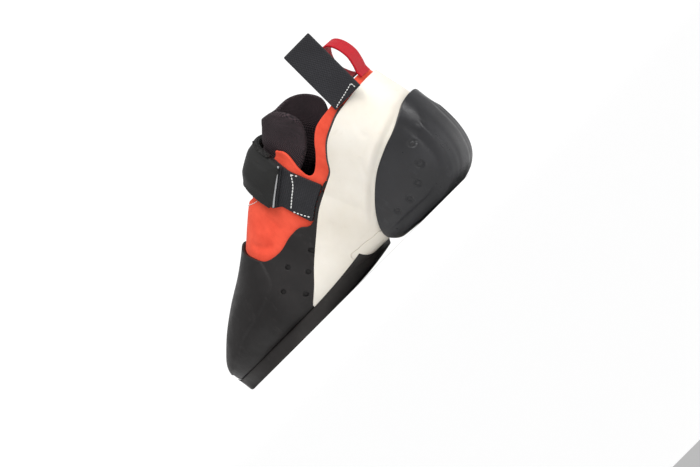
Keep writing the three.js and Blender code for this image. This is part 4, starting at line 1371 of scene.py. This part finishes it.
def make_tongue():
    """Padded tongue, which bulges into the throat and ends in a thick roll."""
    region = smooth(beside_sole(TONGUE_EDGE), True)
    throat = plan_field(throat_region(-THROAT_CLEAR))

    def bulge(p, flat, normals):
        inside, _ = throat(p)
        swell = np.where(p[:, 2] > lift(0.66), eased(inside, 0, 5), 0)
        roll = eased(p[:, 2], lift(1.06), lift(1.20)) * (p[:, 0] < TONGUE_ROLL_END)
        return TONGUE_SWELL * (swell + roll)
    piece, _, _ = layer_piece("tongue_pad", LINING - TONGUE_THICKNESS, LINING, side_field(region), KNIT,
                              ["tongue"], radius=1.5, round_under=True, relief=bulge)


def make_board():
    """Pale board that closes the upper's underside."""
    outline = sole_outline(MIDSOLE_INSET, *BOARD_ROWS)
    field = only_below(OVER_BOARD, plan_field(outline))
    return layer_piece("board_sheet", RAND_IN, RAND_OUT, field, BOARD, ["midsole"], radius=0.3)


def make_anchor():
    """Sewn base of the strap on the seen side."""
    field = all_of(
        only_side(1, side_field(smooth(beside_sole(ANCHOR_EDGE), True, 1))),
        outside(side_field(widened(toe_region(), GLUE_GAP))),
    )
    return layer_piece("strap_base", GLUE_GAP, ANCHOR_OUT, field, WEBBING,
                       ["strap_anchor"], sheet=STRAP_SHEET)


STRAP_ROLL = 2.0


def make_strap():
    """The strap over the instep, with rolled edges."""
    sides = [side_field(beside_sole(edge)) for edge in (STRAP_INNER_EDGE, STRAP_OUTER_EDGE)]
    field = by_side(*sides, THROAT_MIDDLE * BALL_WIDTH)

    def roll(p, flat, normals):
        inside, _ = field(p)
        return STRAP_ROLL * (eased(inside, 1.5, 10) - 0.5)
    return layer_piece("strap_band", STRAP_IN, STRAP_IN + STRAP_THICKNESS, field, STRAP_CLOTH,
                       ["strap"], radius=2.2, round_under=True, relief=roll,
                       sheet=STRAP_SHEET)


# The webbing tab beside the collar and the loop at the heel
TAB_PLACE = (0.121, 0.935)
TAB_TURN = 0.26
TAB_PLY_GAP = 0.12
TAB_TOP_BEND = 1.2


def make_tab(skin):
    """Webbing folded over at its top, as two plies; gives the surface to stitch on."""
    x, z = TAB_PLACE[0] * LAST_LENGTH, TAB_PLACE[1] * HEEL_HEIGHT
    rim = HEEL_HEIGHT * COLLAR_EDGE[0][1]
    thick = 2 * WEBBING_THICKNESS
    across = np.array([math.cos(TAB_TURN), math.sin(TAB_TURN), 0])
    out = np.array([-math.sin(TAB_TURN), math.cos(TAB_TURN), 0])
    walls = []
    for away in TAB_WIDTH * np.linspace(-0.5, 0.5, 5):
        for height in (z, rim):
            place, _ = skin.beside(x + away * across[0], height, 1)
            if place is not None:
                walls.append(place.y - away * across[1])
    centre = max(walls) + (GLUE_GAP + thick / 2) / across[0]
    ply = WEBBING_THICKNESS - TAB_PLY_GAP
    reach = out * (thick - ply) / 2
    heights = np.linspace(0.4, TAB_HEIGHT - thick / 2 - 0.2, 30)
    rise = [np.array([x, centre, z + height]) for height in heights]
    line = [point + reach for point in rise]
    for angle in np.linspace(0, math.pi, 9)[1:-1]:
        top = rise[-1] + np.array([0, 0, TAB_TOP_BEND * math.sin(angle)])
        line.append(top + reach * math.cos(angle))
    line += [point - reach for point in rise[::-1]]
    points, faces, flat = tube(line, np.repeat(across[None], len(line), 0), TAB_WIDTH, ply, 0.5)
    add_piece("tab_webbing", points, faces, WEBBING, ["pull_tab"], flat)
    return Surface(points, faces)


LOOP_LINE = (
    (0.045, -0.10), (0.050, 0.05), (0.150, 0.22), (0.200, 0.48), (0.140, 0.78), (0.000, 0.97),
    (-0.160, 0.97), (-0.340, 0.76), (-0.400, 0.48), (-0.300, 0.20), (-0.185, 0.045),
)
LOOP_MIDDLE = 0.06
LOOP_ROOT_ROW = 19.8
LOOP_ROOT_GAP = 0.4
LOOP_ROOT_POINTS = 2


def make_loop():
    """Red webbing loop from outside the heel's wall over to the collar's edge."""
    rim = HEEL_HEIGHT * COLLAR_EDGE[0][1]
    wall = float(curve_at([row[0] for row in SECTIONS], np.array(LOOP_ROOT_ROW))) * LAST_LENGTH
    half = WEBBING_THICKNESS / 2
    line = []
    for i, (back, up) in enumerate(LOOP_LINE):
        x = wall + UPPER_WALL / 2 - back * LOOP_HEIGHT
        if i < LOOP_ROOT_POINTS:
            x = min(x, wall - GLUE_GAP - half - LOOP_ROOT_GAP)
        line.append((x, LOOP_MIDDLE * HEEL_WIDTH, rim + up * LOOP_HEIGHT))
    line = smooth(line, steps=8)
    across = np.repeat(np.array([[0.0, 1.0, 0.0]]), len(line), 0)
    points, faces, flat = tube(line, across, LOOP_WIDTH, WEBBING_THICKNESS - 0.05, 0.55)
    return add_piece("loop_webbing", points, faces, RED_WEBBING, ["pull_loop"], flat)


EDGE_SLOPE = 0.7
SLOT_TIP = (0.660, -0.060)
SLOT_TURN = 0.03
SOLE_HOLE = (0.717, -0.094)
# Faces that look further down than this take the tread's darker colour, which is painted shade
SHADED_TREAD_FACING = -0.96


def slot_outline():
    """The sole's slot seen from above, pointed in front and round at the back."""
    tip = np.array([SLOT_TIP[0] * LAST_LENGTH, SLOT_TIP[1] * BALL_WIDTH])
    radius = SOLE_SLOT_WIDTH / 2
    angles = np.linspace(math.pi / 2, 3 * math.pi / 2, 17)
    arc = np.stack([tip[0] - SOLE_SLOT_LENGTH + radius + radius * np.cos(angles),
                    tip[1] + radius * np.sin(angles) - SLOT_TURN * SOLE_SLOT_LENGTH], 1)
    return np.vstack([tip, arc])


def prism(outline, low, high):
    """An upright solid from an outline seen from above."""
    count = len(outline)
    points = np.vstack([np.column_stack([outline, np.full(count, height)]) for height in (low, high)])
    faces = [(k, (k + 1) % count, count + (k + 1) % count) for k in range(count)]
    faces += [(k, count + (k + 1) % count, count + k) for k in range(count)]
    middle = len(points)
    points = np.vstack([points, (*outline.mean(0), low), (*outline.mean(0), high)])
    faces += [(middle, (k + 1) % count, k) for k in range(count)]
    faces += [(middle + 1, count + k, count + (k + 1) % count) for k in range(count)]
    faces = np.array(faces)
    return points, outward_faces(points, faces)


WALL_POINTS = 12
CREASE_POINTS = 5
TREAD_POINTS = 38
ROOF_POINTS = 32
CREASE_SIZE = 0.9
ROOF_LEAST = 0.8


def sole_corners(grown, x, half, sign, low_z):
    """The tread's edge and the top edge of the sole on one side of the shoe."""
    inside = min(x, LAST_LENGTH - RAND_OUT)
    top = low_z + SOLE_EDGE_HEIGHT
    y = sign * half * BALL_WIDTH
    place, _ = grown.beside(inside, top - 0.3, sign)
    high_y = place.y if place is not None else y * EDGE_SLOPE
    return np.array([x, y, low_z]), np.array([inside, high_y, top])


def sole_side(low, high, sign, soft):
    """From the top edge down the ground wall and round the crease to the tread."""
    above = low + (high - low) / np.linalg.norm(high - low) * soft
    beyond = low + np.array([0, -sign, 0]) * soft
    wall = [high + (above - high) * t for t in np.linspace(0, 1, WALL_POINTS)]
    crease = []
    for t in np.linspace(0, 1, CREASE_POINTS + 2)[1:-1]:
        crease.append((1 - t) ** 2 * above + 2 * t * (1 - t) * low + t * t * beyond)
    return wall + crease + [beyond]


def between(start, end, count):
    """Points between two others, without them."""
    return [start + (end - start) * t for t in np.linspace(0, 1, count + 2)[1:-1]]


def sole_ring(grown, x, inner, outer, low_z):
    """One ring across the sole: wall, tread, wall, and a roof that follows the rand."""
    corners = [sole_corners(grown, x, half, sign, low_z) for half, sign in ((inner, 1), (outer, -1))]
    soft = min(CREASE_SIZE, (corners[0][0][1] - corners[1][0][1]) * 0.2)
    first, second = (sole_side(*corners[k], sign, soft) for k, sign in ((0, 1), (1, -1)))
    second = second[::-1]
    roof = between(second[-1], first[0], ROOF_POINTS)
    for point in roof:
        place, _ = grown.under(point[0], point[1])
        top = low_z + SOLE_EDGE_HEIGHT
        height = place.z if place is not None else top
        point[2] = min(max(height, low_z + ROOF_LEAST), top)
    return first + between(first[-1], second[0], TREAD_POINTS) + second + roof


def cut_through(item, outlines):
    """Cuts upright holes through an object."""
    cutters = []
    for name, outline in outlines.items():
        points, faces = prism(outline, -20, 40)
        cutter = add_mesh(name, points, faces, GROUND_RUBBER)
        modifier = item.modifiers.new(name, "BOOLEAN")
        modifier.operation = "DIFFERENCE"
        modifier.solver = "EXACT"
        modifier.object = cutter
        cutters.append(cutter)
    graph = bpy.context.evaluated_depsgraph_get()
    final = bpy.data.meshes.new_from_object(item.evaluated_get(graph))
    item.modifiers.clear()
    item.data = final
    for cutter in cutters:
        bpy.data.objects.remove(cutter)


def make_outsole():
    """Half sole: flat tread, a rounded crease, a ground edge, and a top that follows the rand."""
    grown = Surface(LAST.grown(OVER_RAND), LAST.triangles)
    rows = sole_rows(0, len(SOLE_SECTIONS) - 1, 12)
    rings = []
    for x, inner, outer, rise in zip(*(rows[name] for name in SOLE_COLUMNS)):
        rings.append(sole_ring(grown, x * LAST_LENGTH, inner, outer, max(rise, 0) * SOLE_THICKNESS))
    points, faces = swept_solid(np.array(rings))
    sole = add_mesh("outsole_rubber", points, outward_faces(points, faces), GROUND_RUBBER)
    # Second slot: the tread's darker rubber, which paints shade on the tread
    sole.data.materials.append(SHADED_TREAD_RUBBER)
    hole = np.array([SOLE_HOLE[0] * LAST_LENGTH, SOLE_HOLE[1] * BALL_WIDTH])
    angles = np.linspace(0, 2 * math.pi, 24, endpoint=False)
    circle = hole + SOLE_HOLE_DIAMETER / 2 * np.stack([np.cos(angles), np.sin(angles)], 1)
    cut_through(sole, {"slot_cut": slot_outline(), "hole_cut": circle})
    # Faces that look down take the darker tread rubber, painted shade; the others keep the ground edge's
    # lighter rubber
    for polygon in sole.data.polygons:
        polygon.material_index = 1 if polygon.normal.z < SHADED_TREAD_FACING else 0
    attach(sole, "root")
    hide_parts("outsole")


# Stitch lines on the seen side: x and z of each corner
ANCHOR_RUN = ((93.5, 79.5), (98.0, 72.9), (103.9, 68.1), (109.8, 63.4))
ANCHOR_TOP_RUN = ((94.5, 78.6), (87.5, 69.4), (83.6, 62.5))
ANCHOR_LOW_RUN = ((110.3, 61.4), (107.0, 55.4), (104.2, 51.0))
TAB_RUNS = (
    ((20.6, 91.3), (28.5, 89.3), (36.5, 87.6)),
    ((20.6, 91.3), (20.2, 87.8)),
    ((36.5, 87.6), (36.9, 86.9)),
)


def make_anchor_stitches(surface):
    """Rows of stitches along three sides of the strap's base."""
    runs = [
        (*traced(surface, ANCHOR_RUN), 2.0, 1.9),
        (*traced(surface, ANCHOR_TOP_RUN), 2.2, 1.6),
        (*traced(surface, ANCHOR_LOW_RUN), 2.2, 1.6),
    ]
    stitches("strap_stitches", runs, 0.8)


THROAT_STITCH_OFFSET = 2.3
THROAT_STITCH_BACK = 112


def make_throat_stitches(surface):
    """A row of stitches round the throat's opening."""
    region = throat_region(THROAT_STITCH_OFFSET)
    outline = [point for point in region if point[0] > THROAT_STITCH_BACK - 8]
    middle = THROAT_MIDDLE * BALL_WIDTH
    radius = THROAT_WIDTH / 2 + THROAT_STITCH_OFFSET
    ends = [(THROAT_STITCH_BACK, middle + sign * radius) for sign in (-1, 1)]
    places, normals = [], []
    for x, y in smooth(np.array([ends[0]] + outline + [ends[1]]), steps=3):
        place, normal = surface.over(x, y)
        if place is not None:
            places.append(place)
            normals.append(facing(normal, 2))
    stitches("throat_stitches", [(places, normals, 1.9, 1.4)], 0.55)


def make_tab_stitches(surface):
    """One slanted row of stitches with a short return at each end."""
    runs = [(*traced(surface, corners, 3), 1.9, 1.5) for corners in TAB_RUNS]
    stitches("tab_stitches", runs, 0.6)


def hole_floors(name, holes, material, sheet, below=FAR):
    """Thin floors under some holes, where these lie below a height."""
    field = only_below(below, any_of(*(outside(hole) for hole in holes)))
    layer_piece(name, ON_UPPER, HOLE_FLOOR_THICKNESS, field, material, radius=0.05, sheet=sheet)


def make_hole_floors():
    """Dark floors of the perforations in the side rubber, and brown ones in the pale arch piece."""
    side = side_holes(RAND_HOLE_DIAMETER / 2 + 1.4)
    hole_floors("rand_hole_floors", side, BLACK_RUBBER, last_sheet(4.5, 9.6, 0.55, 80))
    under = arch_holes(ARCH_HOLE_DIAMETER / 2 + 0.4)
    hole_floors("arch_hole_floors", under, HOLE_BROWN, last_sheet(9.0, 12.5, 0.55, 80), 20)


STRAP_EDGE = ((0.408, 0.996), (0.4265, 0.960), (0.452, 0.905), (0.480, 0.846), (0.499, 0.802))


# Beads along the strap's edge: name, height, place beside the edge, thickness, width and material
STRAP_BEADS = (
    ("strap_edge", 4.8, 1.15, 1.3, 1.3, EDGE_GREY),
    ("strap_rib", 2.9, 1.9, 1.5, 1.9, WEBBING),
)


def make_strap_edge(skin):
    """Pale folded edge of the strap beside the stitched base, and the dark rib next to it."""
    rows = smooth(beside_sole(STRAP_EDGE), steps=6)
    along = np.gradient(rows, axis=0)
    along /= np.linalg.norm(along, axis=1)[:, None]
    for name, height, beside, thick, width, material in STRAP_BEADS:
        line, across = [], []
        for (x, z), (dx, dz) in zip(rows, along):
            place, normal = skin.beside(x + dz * beside, z - dx * beside, 1)
            normal = facing(normal, 1)
            line.append(place + normal * height)
            across.append(Vector((dx, 0, dz)).cross(normal))
        points, faces, flat = tube(line, across, width, thick)
        add_piece(name, points, faces, material, (), flat)


STRAP_END = ((0.4095, 1.085), (0.418, 1.150), (0.4265, 1.215), (0.434, 1.275))


def make_strap_loops(skin):
    """Rough loop pile on the strap's flat end, above the seen side."""
    line, across = [], []
    for x, z in smooth(beside_sole(STRAP_END), steps=6):
        place, normal = skin.beside(x - 0.35, z, 1)
        if place is not None:
            across.append(facing(normal, 1))
            line.append(place + across[-1] * (STRAP_IN + STRAP_THICKNESS / 2))
    points, faces, flat = tube(line, across, STRAP_THICKNESS - 0.6, 1.4)
    add_piece("strap_end_pile", points, faces, PILE, (), flat)


def make_shoe():
    """Every piece of the shoe, with its stitches on the surface that they lie on."""
    skin = Surface(LAST.points, LAST.triangles)
    _, points, faces = make_upper()
    make_throat_stitches(Surface(points, faces))
    make_hole_floors()
    make_toe_rand()
    make_heel_rand()
    make_strip()
    make_arch_panel()
    make_cup()
    make_insole()
    make_tongue()
    make_board()
    _, points, faces = make_anchor()
    make_anchor_stitches(Surface(points, faces))
    make_strap()
    make_strap_edge(skin)
    make_strap_loops(skin)
    make_tab_stitches(make_tab(skin))
    make_loop()
    make_outsole()


# Stage, lights and camera
VIEW_AZIMUTH = 209.0
VIEW_ELEVATION = -1.0
VIEW_ROLL = 45.0
VIEW_DISTANCE = 3.0
VIEW_WIDTH = 0.4420
VIEW_CENTRE = (0.0, 0.0, 0.060)
VIEW_SHIFT = (0.076, -0.031)
SENSOR_WIDTH = 36
STAGE_SIZE = 60.0
BACKDROP_AWAY = -9.0
BACKDROP_HALF_WIDTH = 5.0
BACKDROP_HEIGHT = 6.0


def away_towards(azimuth, elevation):
    """The way out of the shoe towards an azimuth and elevation in degrees."""
    a, e = math.radians(azimuth), math.radians(elevation)
    return Vector((math.sin(a) * math.cos(e), -math.cos(a) * math.cos(e), math.sin(e)))


def emitter(name, strength):
    """A material that glows evenly."""
    material = bpy.data.materials.new(name)
    material.use_nodes = True
    tree = material.node_tree
    tree.nodes.clear()
    output = tree.nodes.new("ShaderNodeOutputMaterial")
    glow = tree.nodes.new("ShaderNodeEmission")
    glow.inputs["Strength"].default_value = strength
    tree.links.new(glow.outputs[0], output.inputs["Surface"])
    return material


def add_plane(name, corners, material):
    """A four-cornered plane of the stage."""
    mesh = bpy.data.meshes.new(name)
    mesh.from_pydata(corners, [], [(0, 1, 2, 3)])
    mesh.materials.append(material)
    place_item(name, mesh)


def make_stage():
    """White ground and a white backdrop, with a soft surround."""
    size = STAGE_SIZE
    floor, _, _ = new_material("floor_white", (0.93, 0.93, 0.93), 0.8)
    add_plane("floor", [(-size, -size, 0), (size, -size, 0), (size, size, 0), (-size, size, 0)], floor)
    away = away_towards(VIEW_AZIMUTH, 0)
    beside = Vector((-away.y, away.x, 0)) * BACKDROP_HALF_WIDTH
    low = [away * BACKDROP_AWAY - beside, away * BACKDROP_AWAY + beside]
    high = [corner + Vector((0, 0, BACKDROP_HEIGHT)) for corner in low[::-1]]
    add_plane("backdrop", low + high, emitter("backdrop_white", 1.1))
    world = bpy.data.worlds.new("surround")
    world.use_nodes = True
    world.node_tree.nodes["Background"].inputs["Color"].default_value = (1, 1, 1, 1)
    world.node_tree.nodes["Background"].inputs["Strength"].default_value = 0.50
    bpy.context.scene.world = world
    bpy.context.scene.view_settings.view_transform = "Standard"


def make_camera():
    """A long lens at the photo's angle, rolled as there, which looks along the floor."""
    data = bpy.data.cameras.new("camera")
    data.sensor_width = SENSOR_WIDTH
    data.lens = SENSOR_WIDTH * VIEW_DISTANCE / VIEW_WIDTH
    data.clip_end = 200
    data.shift_x, data.shift_y = VIEW_SHIFT
    camera = place_item("camera", data)
    away = away_towards(VIEW_AZIMUTH, VIEW_ELEVATION)
    turn = away.to_track_quat("Z", "Y").to_matrix().to_4x4()
    roll = Matrix.Rotation(math.radians(-VIEW_ROLL), 4, "Z")
    camera.matrix_world = Matrix.Translation(Vector(VIEW_CENTRE) + away * VIEW_DISTANCE) @ turn @ roll
    bpy.context.scene.camera = camera


def add_light(name, place, size, power):
    """A round area light that looks at the shoe."""
    data = bpy.data.lights.new(name, "AREA")
    data.shape = "DISK"
    data.size = size
    data.energy = power
    light = place_item(name, data)
    light.location = place
    aim = Vector((0, 0, 0.05)) - Vector(place)
    light.rotation_euler = aim.to_track_quat("-Z", "Y").to_euler()


def add_sun(azimuth, elevation, strength):
    """A wide, soft sun."""
    data = bpy.data.lights.new("sun", "SUN")
    data.energy = strength
    data.angle = math.radians(35)
    light = place_item("sun", data)
    light.rotation_euler = away_towards(azimuth, elevation).to_track_quat("Z", "Y").to_euler()


make_shoe()
make_stage()
make_camera()
add_sun(238, 62, 2.0)
add_light("key", (-0.9, 1.1, 1.2), 0.6, 5)
add_light("rim", (-1.4, 0.1, 0.45), 0.35, 4)
